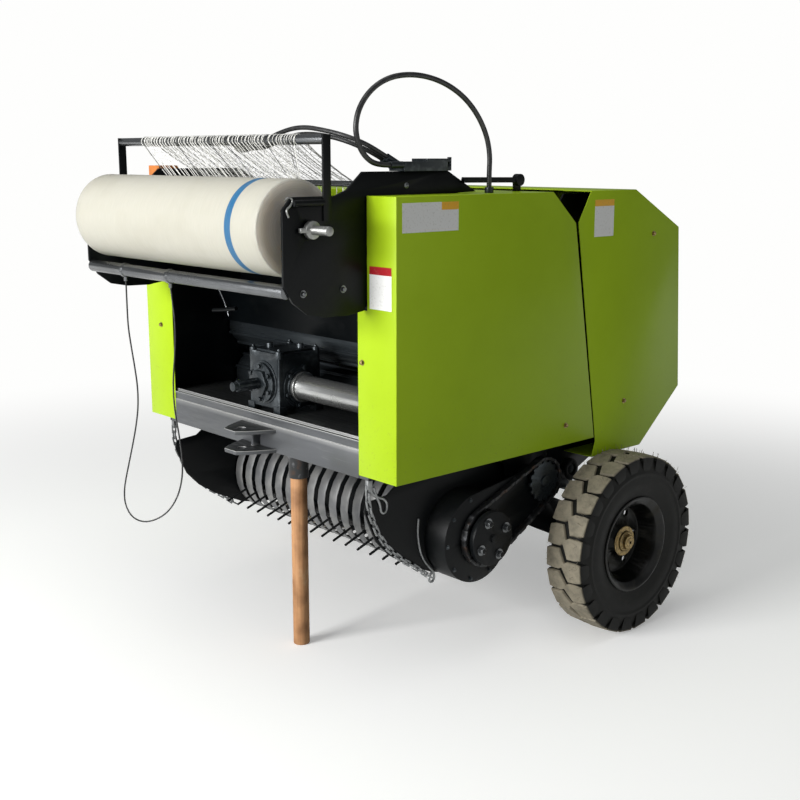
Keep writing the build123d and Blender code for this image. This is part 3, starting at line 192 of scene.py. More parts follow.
def coated(material, colour, rough, inputs):
    """The material with its surface: a colour, a roughness and other shader inputs."""
    shader = add(material.node_tree, "ShaderNodeBsdfPrincipled",
                 [("Base Color", colour), ("Roughness", rough), *inputs])
    add(material.node_tree, "ShaderNodeOutputMaterial", [("Surface", shader)])
    return material


def wear_and_shade_finish(name, noise, layers, rough, inputs=(), bump=None, stretch=None):
    """Finish whose tones follow one cloudy pattern, as wear, dirt and stains do; for the net's
    threads it carries painted shade.

    noise: the pattern's scale, detail and maybe roughness. stretch: scales of its space.
    layers: the ground colour, then (colour, start, end, low, high) for each one over it.
    rough: a roughness, or start, end, low, high. bump: scale, detail, strength, distance.
    """
    material, tree, place = new_finish(name)
    space = place
    if stretch:
        space = add(tree, "ShaderNodeMapping", [("Vector", place), ("Scale", stretch)])
    pattern = add(tree, "ShaderNodeTexNoise",
                  [("Vector", space), *zip(("Scale", "Detail", "Roughness"), noise)])
    colour = linear(layers[0])
    for code, *span in layers[1:]:
        colour = lay_over(tree, colour, linear(code), pattern, *span)
    if isinstance(rough, tuple):
        rough = add(tree, "ShaderNodeMapRange", enumerate((pattern, *rough)))
    if bump:
        inputs = [*inputs, ("Normal", position_bump(tree, place, *bump))]
    return coated(material, colour, rough, inputs)


def round_line(name, route, diameter, steps, sides):
    """Round cord or bar on a smooth line led by its route's points, in metres, with closed ends."""
    curve = bpy.data.curves.new(name, "CURVE")
    curve.dimensions = "3D"
    line = curve.splines.new("NURBS")
    line.points.add(len(route) - 1)
    for point, at in zip(line.points, route):
        point.co = (*at, 1)
    line.order_u = 3
    line.use_endpoint_u = True
    line.resolution_u = steps
    curve.bevel_depth = diameter / 2
    curve.bevel_resolution = sides
    curve.use_fill_caps = True
    return stand(name, curve)


def cord_curve(name, route, diameter, body, finish):
    """Flexible cord, which stays a curve."""
    cord = round_line(name, route, diameter, 6, 4)
    cord.data.materials.append(finish)
    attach(cord, body)
    return cord


TRIP_ROUTE = [
    (-.314, -.761, 1.146), (-.316, -.760, 1.108), (-.320, -.758, 1.060), (-.321, -.757, 1.000),
    (-.309, -.756, .938), (-.293, -.756, .876), (-.282, -.755, .812), (-.285, -.755, .747),
    (-.302, -.756, .684), (-.325, -.757, .624), (-.351, -.757, .565), (-.378, -.756, .509),
    (-.402, -.755, .453), (-.406, -.753, .402), (-.374, -.752, .369), (-.322, -.752, .362),
    (-.262, -.753, .373), (-.205, -.754, .395), (-.150, -.755, .424), (-.098, -.756, .464),
    (-.055, -.757, .516), (-.031, -.757, .577), (-.030, -.757, .640), (-.044, -.756, .699),
    (-.060, -.756, .758), (-.068, -.756, .820), (-.062, -.757, .882), (-.049, -.757, .944),
    (-.039, -.758, 1.007), (-.039, -.759, 1.062), (-.046, -.760, 1.108), (-.050, -.761, 1.146)]
LOOP_ROUTE = [
    (.580, -.070, 1.440), (.581, -.072, 1.478), (.580, -.068, 1.530), (.577, -.080, 1.586),
    (.573, -.112, 1.641), (.568, -.160, 1.688), (.562, -.222, 1.722), (.556, -.291, 1.741),
    (.550, -.362, 1.745), (.545, -.430, 1.733), (.541, -.486, 1.702), (.538, -.524, 1.657),
    (.536, -.538, 1.609), (.534, -.529, 1.563), (.532, -.501, 1.525), (.531, -.459, 1.504),
    (.530, -.412, 1.504)]
FEED_A_ROUTE = [
    (.507, -.402, 1.526), (.506, -.440, 1.545), (.497, -.476, 1.563), (.470, -.503, 1.578),
    (.428, -.519, 1.590), (.376, -.527, 1.599), (.322, -.531, 1.606), (.266, -.533, 1.605),
    (.214, -.535, 1.596), (.164, -.536, 1.583), (.116, -.536, 1.569), (.070, -.535, 1.562),
    (.026, -.534, 1.561)]
FEED_B_ROUTE = [
    (.484, -.398, 1.520), (.481, -.430, 1.536), (.468, -.459, 1.551), (.441, -.480, 1.565),
    (.400, -.494, 1.577), (.348, -.502, 1.585), (.296, -.506, 1.589), (.242, -.509, 1.587),
    (.190, -.511, 1.577), (.140, -.512, 1.563), (.094, -.512, 1.553), (.050, -.511, 1.550),
    (.008, -.510, 1.550)]
# Extruded rubber cover: black, half matte, greyed where it has been handled
HOSE_RUBBER = wear_and_shade_finish("rubber_hose", (42.0, 6.0), ["#1b1c1d", ("#3a3a39", 0.45, 0.75)], 0.42,
                          [("IOR", 1.5)], bump=(900, 3, 0.25, 0.0006))
trip = cord_curve("trip_cord_line", TRIP_ROUTE, 0.005, "frame", HOSE_RUBBER)
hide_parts("trip_cord")
loop = cord_curve("hose_loop_line", LOOP_ROUTE, 0.015, "frame", HOSE_RUBBER)
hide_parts("hose_loop")
feed_a = cord_curve("feed_hose_a_line", FEED_A_ROUTE, 0.013, "frame", HOSE_RUBBER)
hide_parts("feed_hose_a")
feed_b = cord_curve("feed_hose_b_line", FEED_B_ROUTE, 0.013, "frame", HOSE_RUBBER)
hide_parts("feed_hose_b")


# Chamber side walls and the other black plates: 6 and 8 mm steel plate, flame cut, welded up and
# painted satin black in the shop. Cut edges are ground round, and dust lies on what faces up.
def facing_parts(tree):
    """How far the surface faces along X, Y and Z, as sockets."""
    normal = add(tree, "ShaderNodeNewGeometry").outputs["Normal"]
    return add(tree, "ShaderNodeSeparateXYZ", [(0, normal)]).outputs


def black_paint():
    """Satin black shop paint on plate: dust where it faces up, grey rubs, slight orange peel."""
    material, tree, place = new_finish("black_shop_paint")
    upwards = facing_parts(tree)["Z"]
    cloud = add(tree, "ShaderNodeTexNoise", [("Vector", place), ("Scale", 9.0), ("Detail", 7.0),
                                             ("Roughness", 0.65)])
    up = add(tree, "ShaderNodeMapRange", enumerate((upwards, 0.5, 1.0, 0.0, 0.35)))
    dust = add(tree, "ShaderNodeMath", [(0, up), (1, cloud)], operation="MULTIPLY")
    thin = add(tree, "ShaderNodeMapRange", enumerate((cloud, 0.55, 0.8, 0.0, 0.14)))
    share = add(tree, "ShaderNodeMath", [(0, dust), (1, thin)], operation="ADD")
    colour = lay_over(tree, linear("#05080a"), linear("#3c3d3b"), share)
    rough = add(tree, "ShaderNodeMapRange", enumerate((share, 0.0, 0.5, 0.38, 0.75)))
    bump = position_bump(tree, place, 420, 2, 0.12, 0.0008)
    return coated(material, colour, rough, [("Specular IOR Level", 0.17), ("Normal", bump)])


def pick(piece):
    """Makes the piece the one that operators act on."""
    bpy.ops.object.select_all(action="DESELECT")
    piece.select_set(True)
    bpy.context.view_layer.objects.active = piece


def use_modifier(piece, kind, **settings):
    """Adds a modifier with its settings and applies it."""
    modifier = piece.modifiers.new(kind, kind)
    for name, value in settings.items():
        setattr(modifier, name, value)
    pick(piece)
    bpy.ops.object.modifier_apply(modifier=modifier.name)


def settle(piece, name, body, finish, replaced=()):
    """Brings a finished piece's place into its mesh and gives it name, finish and body."""
    pick(piece)
    bpy.ops.object.transform_apply()
    piece.name = name
    piece.data.name = name
    piece.data.materials.clear()
    piece.data.materials.append(finish)
    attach(piece, body)
    if replaced:
        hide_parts(*replaced)
    return piece


def eased(node, edge, finish):
    """The CAD piece with its edges rounded by a real radius, as pressing or grinding does."""
    source = frame["nodes"][node]
    piece = stand(node + "_eased", source.data.copy())
    pick(piece)
    bpy.ops.object.mode_set(mode="EDIT")
    bpy.ops.mesh.select_all(action="SELECT")
    bpy.ops.mesh.remove_doubles(threshold=0.00002)
    bpy.ops.mesh.dissolve_limited(angle_limit=radians(0.4))
    bpy.ops.object.mode_set(mode="OBJECT")
    use_modifier(piece, "BEVEL", width=edge, segments=2, limit_method="ANGLE",
                 angle_limit=radians(40), use_clamp_overlap=True)
    bpy.ops.object.shade_smooth_by_angle(angle=radians(38))
    return settle(piece, node + "_eased", source["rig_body"], finish, [node])


BLACK_PAINT = black_paint()
for side in ("left", "right"):
    eased(f"side_wall_{side}", 0.0012, BLACK_PAINT)


# Deck beam and hitch: a box beam across the front with a folded shelf over it, and two pin plates
# welded to its face. Worn dark grey paint with bare streaks where boots and chains rub, and a
# painted highlight along the edges between its top and front faces.
def grey_paint():
    """Worn grey paint: dark oil patches, darker where it faces up, a painted highlight on the edges
    that face up and forward, pale scuffs, a little rust.
    """
    material, tree, place = new_finish("worn_grey_paint_with_painted_highlight")
    stretch = add(tree, "ShaderNodeMapping", [("Vector", place), ("Scale", (6.0, 60.0, 60.0))])
    scuff = add(tree, "ShaderNodeTexNoise", [("Vector", stretch), ("Scale", 1.6), ("Detail", 8.0)])
    patch = add(tree, "ShaderNodeTexNoise", [("Vector", place), ("Scale", 7.0), ("Detail", 5.0)])
    upwards = facing_parts(tree)["Z"]
    # Painted highlight: the bevels between the top and the front faces take a pale colour that
    # stands in for light on those edges.
    rising = add(tree, "ShaderNodeMapRange", enumerate((upwards, 0.12, 0.30, 0.0, 1.0)))
    falling = add(tree, "ShaderNodeMapRange", enumerate((upwards, 0.97, 0.85, 0.0, 0.85)))
    edge = add(tree, "ShaderNodeMath", [(0, rising), (1, falling)], operation="MULTIPLY")
    colour = linear("#55575a")
    for value, code, *span in ((patch, "#4e5051", 0.42, 0.7),
                               (upwards, "#2f3131", 0.5, 0.9, 0.0, 0.85),
                               (edge, "#c4c4c1"),
                               (scuff, "#858683", 0.60, 0.80, 0.0, 0.35),
                               (patch, "#5e4a3c", 0.7, 0.8, 0.0, 0.4)):
        colour = lay_over(tree, colour, linear(code), value, *span)
    rough = add(tree, "ShaderNodeMapRange", enumerate((scuff, 0.4, 0.7, 0.36, 0.62)))
    bump = position_bump(tree, place, 260, 4, 0.2, 0.0008)
    return coated(material, colour, rough, [("Metallic", 0.25), ("Normal", bump)])


GREY_PAINT = grey_paint()
for node in ("deck_beam", "hitch_clevis"):
    eased(node, 0.0016, GREY_PAINT)


# Hexagon bolts with washers hold the covers, plates and the gearbox. One is modelled for each
# size and copied to its places. They are zinc-plated or yellow-passivated, or painted over.
def hex_bolt(across):
    """Bolt head on its washer, standing on the origin along +Z; across is the hexagon's width."""
    corner = across / 2 / cos(radians(30))
    bpy.ops.mesh.primitive_cylinder_add(vertices=24, radius=across * 0.85, depth=across * 0.14,
                                        location=(0, 0, across * 0.07))
    washer = bpy.context.object
    bpy.ops.mesh.primitive_cylinder_add(vertices=6, radius=corner, depth=across * 0.6,
                                        location=(0, 0, across * 0.44))
    head = bpy.context.object
    use_modifier(head, "BEVEL", width=across * 0.07, segments=2, limit_method="ANGLE")
    pick(washer)
    head.select_set(True)
    bpy.ops.object.join()
    bpy.ops.object.transform_apply()
    bpy.ops.object.shade_smooth_by_angle(angle=radians(30))
    return washer


def copies(master, places, name, body, finish):
    """Copies of a master at (point, direction) places, joined as one piece; the master goes."""
    made = []
    for at, facing in places:
        turn = Vector(facing).to_track_quat("Z", "Y").to_matrix().to_4x4()
        piece = stand(name, master.data.copy())
        piece.matrix_world = Matrix.Translation(at) @ turn
        made.append(piece)
    pick(made[0])
    for piece in made:
        piece.select_set(True)
    bpy.ops.object.join()
    bpy.data.objects.remove(master)
    return settle(made[0], name, body, finish)


# Bright zinc, slightly mottled, and a yellow passivation that is dulled and dirty in the recesses
ZINC = wear_and_shade_finish("zinc_plate", (90.0, 4.0), ["#6f706e", ("#b3b4b1",)], 0.38,
                   [("Metallic", 0.9)])
BRASS = wear_and_shade_finish("yellow_passivate", (120.0, 5.0), ["#a08a5e", ("#5a5140", 0.45, 0.7)], 0.4,
                    [("Metallic", 0.85)])
LEFT, RIGHT, FRONT, UP = (1, 0, 0), (-1, 0, 0), (0, -1, 0), (0, 0, 1)


# Prop: a round pole of peeled wood in a steel socket below the beam. It is the tractor's stand-in
# while the baler is parked, rubbed and stained, with grain along it.
def peeled_wood(name, light, dark):
    """Peeled softwood: long grain, brown stains, pale rubs, rough surface."""
    material, tree, place = new_finish(name)
    along = add(tree, "ShaderNodeMapping", [("Vector", place), ("Scale", (60.0, 60.0, 3.0))])
    grain = add(tree, "ShaderNodeTexNoise", [("Vector", along), ("Scale", 2.2), ("Detail", 8.0)])
    stain = add(tree, "ShaderNodeTexNoise", [("Vector", place), ("Scale", 11.0), ("Detail", 6.0)])
    colour = lay_over(tree, linear(light), linear(dark), grain)
    colour = lay_over(tree, colour, linear("#7d5432"), stain, 0.5, 0.72, 0.0, 0.8)
    colour = lay_over(tree, colour, linear("#e3c7a0"), stain, 0.42, 0.3, 0.0, 0.6)
    bump = add(tree, "ShaderNodeBump", [("Height", grain), ("Strength", 0.6), ("Distance", 0.002)])
    return coated(material, colour, 0.72, [("Normal", bump)])


# Oiled dark steel with rust in the hollows and bright rubbed spots
DARK_STEEL = wear_and_shade_finish("oiled_dark_steel", (34.0, 6.0),
                         ["#3b3c3d", ("#5e4535", 0.55, 0.75, 0.0, 0.7),
                          ("#86878a", 0.42, 0.3, 0.0, 0.6)],
                         0.42, [("Metallic", 0.75)], bump=(300, 3, 0.25, 0.0006))
eased("prop_pole", 0.003, peeled_wood("peeled_wood", "#dca878", "#a06e44"))
eased("prop_socket", 0.0012, DARK_STEEL)


# Shields: boxes of 3 mm sheet folded at their edges and powder coated lime green. Field dust lies
# on them in a thin film and fine specks, more of it towards their lower edges.
def lime_coating():
    """Lime powder coating: even gloss, fine orange peel, field dust that thickens downwards."""
    material, tree, place = new_finish("lime_powder_coating")
    height = add(tree, "ShaderNodeSeparateXYZ", [(0, place)]).outputs["Z"]
    cloud = add(tree, "ShaderNodeTexNoise", [("Vector", place), ("Scale", 3.4), ("Detail", 7.0),
                                             ("Roughness", 0.62)])
    specks = add(tree, "ShaderNodeTexNoise", [("Vector", place), ("Scale", 120.0), ("Detail", 5.0)])
    base = lay_over(tree, linear("#a6c61c"), linear("#afd024"), cloud, 0.3, 0.7)
    low = add(tree, "ShaderNodeMapRange", enumerate((height, 0.95, 0.6, 0.15, 1.0)))
    speck = add(tree, "ShaderNodeMapRange", enumerate((specks, 0.62, 0.74, 0.0, 0.4)))
    smear = add(tree, "ShaderNodeMapRange", enumerate((cloud, 0.5, 0.8, 0.0, 0.14)))
    dust = add(tree, "ShaderNodeMath", [(0, speck), (1, smear)], operation="ADD")
    share = add(tree, "ShaderNodeMath", [(0, dust), (1, low)], operation="MULTIPLY")
    colour = lay_over(tree, base, linear("#7c7d4e"), share)
    rough = add(tree, "ShaderNodeMapRange", enumerate((share, 0.0, 0.4, 0.33, 0.6)))
    bump = position_bump(tree, place, 500, 1, 0.08, 0.0006)
    return coated(material, colour, rough, [("IOR", 1.42), ("Specular IOR Level", 0.2),
                                            ("Normal", bump)])


LIME = lime_coating()
for side in ("left", "right"):
    eased(f"shield_front_{side}", 0.0022, LIME)
    eased(f"tailgate_shield_{side}", 0.0022, LIME)
for node in ("top_cover", "tailgate_cover"):
    eased(node, 0.0012, LIME)
SHIELD_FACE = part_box("shield_front_left")[1].x
SHIELD_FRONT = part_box("shield_front_left")[0].y
shield_bolts = [((SHIELD_FACE, 0.221, 0.698), LEFT), ((-SHIELD_FACE, 0.221, 0.698), RIGHT),
                ((0.508, SHIELD_FRONT, 0.964), FRONT), ((-0.562, SHIELD_FRONT, 0.958), FRONT)]
copies(hex_bolt(0.010), shield_bolts, "shield_bolts", "frame", BRASS)


# Tailgate: plate side walls tied across the back by square tubes and hinged at the top. Its six
# rollers close the chamber.
for node in ("tailgate_walls", "tailgate_ties"):
    eased(node, 0.0012, BLACK_PAINT)
gate_bolts = [((SHIELD_FACE, 0.515, 0.736), LEFT), ((SHIELD_FACE, 0.640, 1.279), LEFT)]
gate_bolts += [((-x, y, z), RIGHT) for (x, y, z), _ in gate_bolts]
copies(hex_bolt(0.010), gate_bolts, "gate_bolts", "tailgate", BRASS)


# Chamber rollers: steel tubes with welded ribs that grip the straw, black paint worn to grey
# steel on the ribs by use and dusted between them. The small feed roller sits at the inlet.
ROLLER_PAINT = wear_and_shade_finish("worn_roller_paint", (1.0, 6.0),
                           ["#3a4044", ("#5c6163", 0.4, 0.8, 0.0, 0.25)], (0.3, 0.8, 0.27, 0.31),
                           [("Metallic", 0.7)], stretch=(14.0, 260.0, 260.0))
ROLLERS = [f"roller_{i}" for i in range(1, 6)] + [f"tail_roller_{i}" for i in range(1, 7)]
for node in ROLLERS + ["feed_roller"]:
    eased(node, 0.0018, ROLLER_PAINT)


# Blank plates of printed film on the left shields: the white and coloured fields of the signs,
# with nothing on them.
def edged_box(low, high, edge):
    """Box between two opposite corners, with its edges bevelled."""
    low, high = Vector(low), Vector(high)
    bpy.ops.object.select_all(action="DESELECT")
    bpy.ops.mesh.primitive_cube_add(size=1, location=(low + high) / 2)
    box = bpy.context.object
    box.scale = [abs(length) for length in high - low]
    bpy.ops.object.transform_apply()
    use_modifier(box, "BEVEL", width=edge, segments=2)
    return box


def sign_film(name, code):
    """Printed vinyl film: one field of colour with fine dirt."""
    return wear_and_shade_finish(name, (160.0, 5.0), [code, ("#8d8972", 0.55, 0.8, 0.0, 0.35)], 0.35,
                       [("IOR", 1.5)])


LABEL_T = 0.0006
AMBER_FACE = SHIELD_FACE + LABEL_T
WHITE_FILM = sign_film("white_sign_film", "#fbfbf8")
AMBER_FILM = sign_film("amber_sign_film", "#ffbe1a")
RED_FILM = sign_film("red_sign_film", "#b3202a")
# Columns: name, two opposite corners, facing, body, finish
LABELS = [
    ("label_panel_white", (SHIELD_FACE, -.474, 1.327), (SHIELD_FACE, -.264, 1.406),
     LEFT, "frame", WHITE_FILM),
    ("label_panel_amber", (AMBER_FACE, -.329, 1.385), (AMBER_FACE, -.264, 1.406),
     LEFT, "frame", AMBER_FILM),
    ("label_strip_white", (.541, SHIELD_FRONT, 1.118), (.631, SHIELD_FRONT, 1.213),
     FRONT, "frame", WHITE_FILM),
    ("label_strip_red", (.541, SHIELD_FRONT, 1.213), (.631, SHIELD_FRONT, 1.235),
     FRONT, "frame", RED_FILM),
    ("label_gate_white", (SHIELD_FACE, .332, 1.281), (SHIELD_FACE, .427, 1.375),
     LEFT, "tailgate", WHITE_FILM),
    ("label_gate_amber", (SHIELD_FACE, .332, 1.375), (SHIELD_FACE, .427, 1.395),
     LEFT, "tailgate", AMBER_FILM)]
for name, low, high, facing, body, finish in LABELS:
    outer = Vector(high) + LABEL_T * Vector(facing)
    settle(edged_box(low, outer, LABEL_T * 0.4), name, body, finish)


# Drive: a cast gearbox on the shelf with its splined input shaft at the front. The drive runs to
# the left inside a thick polished tube. Castings are sprayed over, so bolts and joints are dulled.
def about_x(x, axis, radius, angle):
    """Point at x on a circle about the X axis through axis, a (y, z) pair; the angle in radians."""
    return Vector((x, axis[0] + radius * cos(angle), axis[1] + radius * sin(angle)))


def tube_steel(name, bright, stained):
    """Drawn steel tube under clear oil: satin grey with a long bright line and faint stains."""
    return wear_and_shade_finish(name, (9.0, 4.0), [bright, (stained, 0.4, 0.75, 0.0, 0.5)],
                       (0.3, 0.7, 0.20, 0.30), [("Metallic", 0.9)])


# Sprayed casting: dark blue-grey, pitted, rubbed paler on its corners and faces
CASTING = wear_and_shade_finish("sprayed_casting", (26.0, 7.0, 0.6),
                      ["#272d31", ("#62686c", 0.5, 0.72, 0.0, 0.55)], 0.36, [("Metallic", 0.45)],
                      bump=(380, 6, 0.45, 0.0012))
TUBE_STEEL = tube_steel("drawn_tube", "#c0c1c0", "#92928e")
CONDUIT = tube_steel("oiled_conduit", "#747678", "#4a4c4e")
PTO_HEIGHT, DRIVE_AXIS = 0.833, (-0.385, 0.820)
CAP_FACE_Y, CAP_BOLT_R = -0.482, 0.052
FLANGE_FACE_X, FLANGE_BOLT_R = 0.082, 0.060
LUG_BOLT_X, LUG_BOLT_Z = 0.06804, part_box("gearbox")[1].z - 0.012
eased("gearbox", 0.0022, CASTING)
eased("pto_shaft", 0.0008, CASTING)
eased("drive_tube", 0.0010, TUBE_STEEL)
cap_bolts = [((CAP_BOLT_R * cos(radians(a)), CAP_FACE_Y, PTO_HEIGHT + CAP_BOLT_R * sin(radians(a))),
              FRONT) for a in range(30, 390, 60)]
flange_bolts = [(about_x(side * FLANGE_FACE_X, DRIVE_AXIS, FLANGE_BOLT_R, radians(a)), facing)
                for side, facing in ((1, LEFT), (-1, RIGHT)) for a in range(20, 380, 60)]
copies(hex_bolt(0.013), cap_bolts + flange_bolts, "gearbox_bolts", "frame", CASTING)
lug_bolts = [((x, y, LUG_BOLT_Z), UP) for x in (-LUG_BOLT_X, LUG_BOLT_X) for y in (-0.458, -0.315)]
copies(hex_bolt(0.010), lug_bolts, "gearbox_lug_bolts", "frame", CASTING)


# Net box: two 8 mm side plates with upright arms, a pipe below the roll and two rods that the net
# passes over. A wing nut on the spindle clamps the roll from the left. The left plate carries a
# short tube and a hook on top, and a thin latch rod hangs from the chute.
def round_wire(name, route, thickness, body, finish):
    """Bent wire or thin bar through its points, made a mesh."""
    pick(round_line(name, route, thickness, 5, 2))
    bpy.ops.object.convert(target="MESH")
    return settle(bpy.context.object, name, body, finish)


for side in ("left", "right"):
    eased(f"net_plate_{side}", 0.0016, BLACK_PAINT)
eased("net_chute", 0.0008, BLACK_PAINT)
eased("net_rods", 0.0008, CONDUIT)
eased("net_spindle", 0.0008, ZINC)
eased("trip_linkage", 0.0010, BLACK_PAINT)
PLATE_FACE = 0.527
plate_bolts = [((side * PLATE_FACE, y, z), facing) for side, facing in ((1, LEFT), (-1, RIGHT))
               for y, z in ((-0.713, 1.174), (-0.578, 1.177))]
copies(hex_bolt(0.012), plate_bolts, "net_plate_bolts", "frame", CONDUIT)

LATCH_ROD = [(-.300, -.446, 1.142), (-.293, -.436, 1.105), (-.274, -.420, 1.050),
             (-.262, -.418, 1.012)]
LATCH_BAR = [(-.350, -.420, 1.022), (-.290, -.420, 1.028), (-.215, -.420, 1.040)]
TOP_TUBE = [(PLATE_FACE + 0.009, y, 1.409) for y in (-.746, -.690, -.648)]
HOOK = [(PLATE_FACE + 0.004, y, z) for y, z in ((-.758, 1.374), (-.768, 1.392), (-.752, 1.402),
                                                (-.742, 1.416), (-.756, 1.428), (-.768, 1.418))]
round_wire("latch_rod", LATCH_ROD, 0.006, "frame", CONDUIT)
round_wire("latch_bar", LATCH_BAR, 0.014, "frame", BLACK_PAINT)
round_wire("plate_top_tube", TOP_TUBE, 0.018, "frame", BLACK_PAINT)
round_wire("plate_hook", HOOK, 0.006, "frame", ZINC)


# Net roll: netting wound tight on a board core. The roll is creamy white with fine rings where the
# threads lie, one blue marking thread band near its left end, and layered end faces that are
# painted lighter than its side, as painted light on the shaded ends.
def about_axis(tree, place, axis):
    """A place's X, and its distance from the X axis through axis, a (y, z) pair, as sockets."""
    point = add(tree, "ShaderNodeSeparateXYZ", [(0, place)]).outputs
    dy = add(tree, "ShaderNodeMath", [(0, point["Y"]), (1, axis[0])], operation="SUBTRACT")
    dz = add(tree, "ShaderNodeMath", [(0, point["Z"]), (1, axis[1])], operation="SUBTRACT")
    flat = add(tree, "ShaderNodeCombineXYZ", [(0, dy), (1, dz)])
    radius = add(tree, "ShaderNodeVectorMath", [(0, flat)], operation="LENGTH").outputs["Value"]
    return point["X"], radius


def wound_net():
    """Wound white netting: rings of thread, layered ends painted lighter as painted light, slight
    soiling, one blue band.
    """
    material, tree, place = new_finish("wound_netting")
    x, radius = about_axis(tree, place, ROLL_AXIS)
    fine = add(tree, "ShaderNodeMapping", [("Vector", place), ("Scale", (520.0, 22.0, 22.0))])
    thread = add(tree, "ShaderNodeTexNoise", [("Vector", fine), ("Scale", 1.0), ("Detail", 4.0)])
    soil = add(tree, "ShaderNodeTexNoise", [("Vector", place), ("Scale", 5.0), ("Detail", 7.0)])
    colour = lay_over(tree, linear("#b3b1a4"), linear("#c6c3b7"), thread)
    colour = lay_over(tree, colour, linear("#a6a292"), soil, 0.52, 0.8, 0.0, 0.4)
    offset = add(tree, "ShaderNodeMath", [(0, x), (1, BAND_AT)], operation="SUBTRACT")
    apart = add(tree, "ShaderNodeMath", [(0, offset)], operation="ABSOLUTE")
    band = add(tree, "ShaderNodeMapRange", enumerate((apart, 0.0150, 0.0135, 0.0, 1.0)))
    faded = add(tree, "ShaderNodeMapRange", enumerate((thread, 0.35, 0.7, 0.88, 1.0)))
    share = add(tree, "ShaderNodeMath", [(0, band), (1, faded)], operation="MULTIPLY")
    colour = lay_over(tree, colour, linear("#0a6290"), share)
    # The end faces show the layers as rings about the spindle, in a lighter tone than the side:
    # painted light on ends that lie in shade.
    across = add(tree, "ShaderNodeMath", [(0, facing_parts(tree)["X"])], operation="ABSOLUTE")
    end = add(tree, "ShaderNodeMapRange", enumerate((across, 0.6, 0.9, 0.0, 1.0)))
    wobble = add(tree, "ShaderNodeMath", [(0, soil), (1, 0.012)], operation="MULTIPLY")
    turned = add(tree, "ShaderNodeMath", [(0, radius), (1, wobble)], operation="ADD")
    at = add(tree, "ShaderNodeCombineXYZ", [(0, turned)])
    layer = add(tree, "ShaderNodeTexNoise", [("Vector", at), ("Scale", 420.0), ("Detail", 3.0)])
    rings = lay_over(tree, linear("#c0b9ad"), linear("#fffaf2"), layer)
    colour = lay_over(tree, colour, rings, end)
    height = add(tree, "ShaderNodeMix", [(0, end), (2, thread), (3, layer)])
    bump = add(tree, "ShaderNodeBump",
               [("Height", height), ("Strength", 0.35), ("Distance", 0.0015)])
    return coated(material, colour, 0.48, [
        ("IOR", 1.45), ("Normal", bump), ("Specular IOR Level", 0.3), ("Subsurface Weight", 0.6),
        ("Subsurface Scale", 0.05), ("Subsurface Radius", (1.0, 0.96, 0.88))])


def revolved(profile, axis, steps):
    """Points and faces of a closed outline of (x, radius) points turned about an X axis."""
    n = len(profile)
    points = [about_x(x, axis, r, 2 * pi * i / steps) for i in range(steps) for x, r in profile]
    faces = []
    for i in range(steps):
        j = (i + 1) % steps
        for k in range(n):
            m = (k + 1) % n
            faces.append((i * n + k, j * n + k, j * n + m, i * n + m))
    return points, faces


def closed_mesh(name, points, faces, smooth=None):
    """New piece of points and faces, which are turned outwards and smoothed up to an angle."""
    mesh = bpy.data.meshes.new(name)
    mesh.from_pydata(points, [], faces)
    piece = stand(name, mesh)
    pick(piece)
    bpy.ops.object.mode_set(mode="EDIT")
    bpy.ops.mesh.select_all(action="SELECT")
    bpy.ops.mesh.normals_make_consistent(inside=False)
    bpy.ops.object.mode_set(mode="OBJECT")
    if smooth:
        bpy.ops.object.shade_smooth_by_angle(angle=radians(smooth))
    return piece


def turned_ring(name, profile, axis, steps, body, finish, replaced=()):
    """Closed ring about an X axis, from an outline of (x, radius) points."""
    piece = closed_mesh(name, *revolved(profile, axis, steps), smooth=35)
    return settle(piece, name, body, finish, replaced)


ROLL_AXIS = (-0.690, 1.340)
ROLL_R = 0.131
CORE_R = 0.0385
END_STEPS, SIDE_STEPS = 14, 24
BAND_AT = 0.342
roll_low, roll_high = (corner.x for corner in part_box("net_roll"))


def end_radius(i):
    """Radius of the end face's outline point i, counted outwards."""
    return 0.042 + (ROLL_R - 0.046) * i / END_STEPS


random.seed(11)
profile = [(roll_low + 0.004, CORE_R), (roll_high - 0.004, CORE_R)]
for i in range(END_STEPS + 1):
    profile.append((roll_high - random.uniform(0.0002, 0.0024), end_radius(i)))
profile += [(roll_high - 0.0012, ROLL_R - 0.0020), (roll_high - 0.004, ROLL_R - 0.0002)]
for i in range(1, SIDE_STEPS):
    x = roll_high - 0.004 + (roll_low + 0.008 - roll_high) * i / SIDE_STEPS
    profile.append((x, ROLL_R - random.uniform(0.0001, 0.0007)))
profile += [(roll_low + 0.004, ROLL_R - 0.0002), (roll_low + 0.0012, ROLL_R - 0.0020)]
for i in range(END_STEPS, -1, -1):
    profile.append((roll_low + random.uniform(0.0002, 0.0024), end_radius(i)))
turned_ring("net_roll_wound", profile, ROLL_AXIS, 160, "net_roll", wound_net(),
            ["net_roll"])
# Board core: its brown is painted near black, as painted shade inside the core.
BOARD = wear_and_shade_finish("board_core_painted_shade", (60.0, 5.0), ["#1d1a17", ("#3b342c",)], 0.8)
eased("net_core", 0.0010, BOARD)


# Net: it comes off the back of the roll, wraps over the front rod and runs down to the rear rod.
# Long white threads run along it, skewed to the right, with thin zigzag threads between them. The
# net is pulled in along some lines, which leaves dark gaps; some threads are drawn dark grey there
# as painted shade.
def net_thread(name, light, shaded):
    """Plastic thread whose tone goes between a light and a shaded colour along it: painted shade
    for its twist.
    """
    return wear_and_shade_finish(name, (90.0, 2.0), [light, (shaded, 0.55, 0.66, 0.0, 0.8)], 0.5,
                       [("IOR", 1.45)])


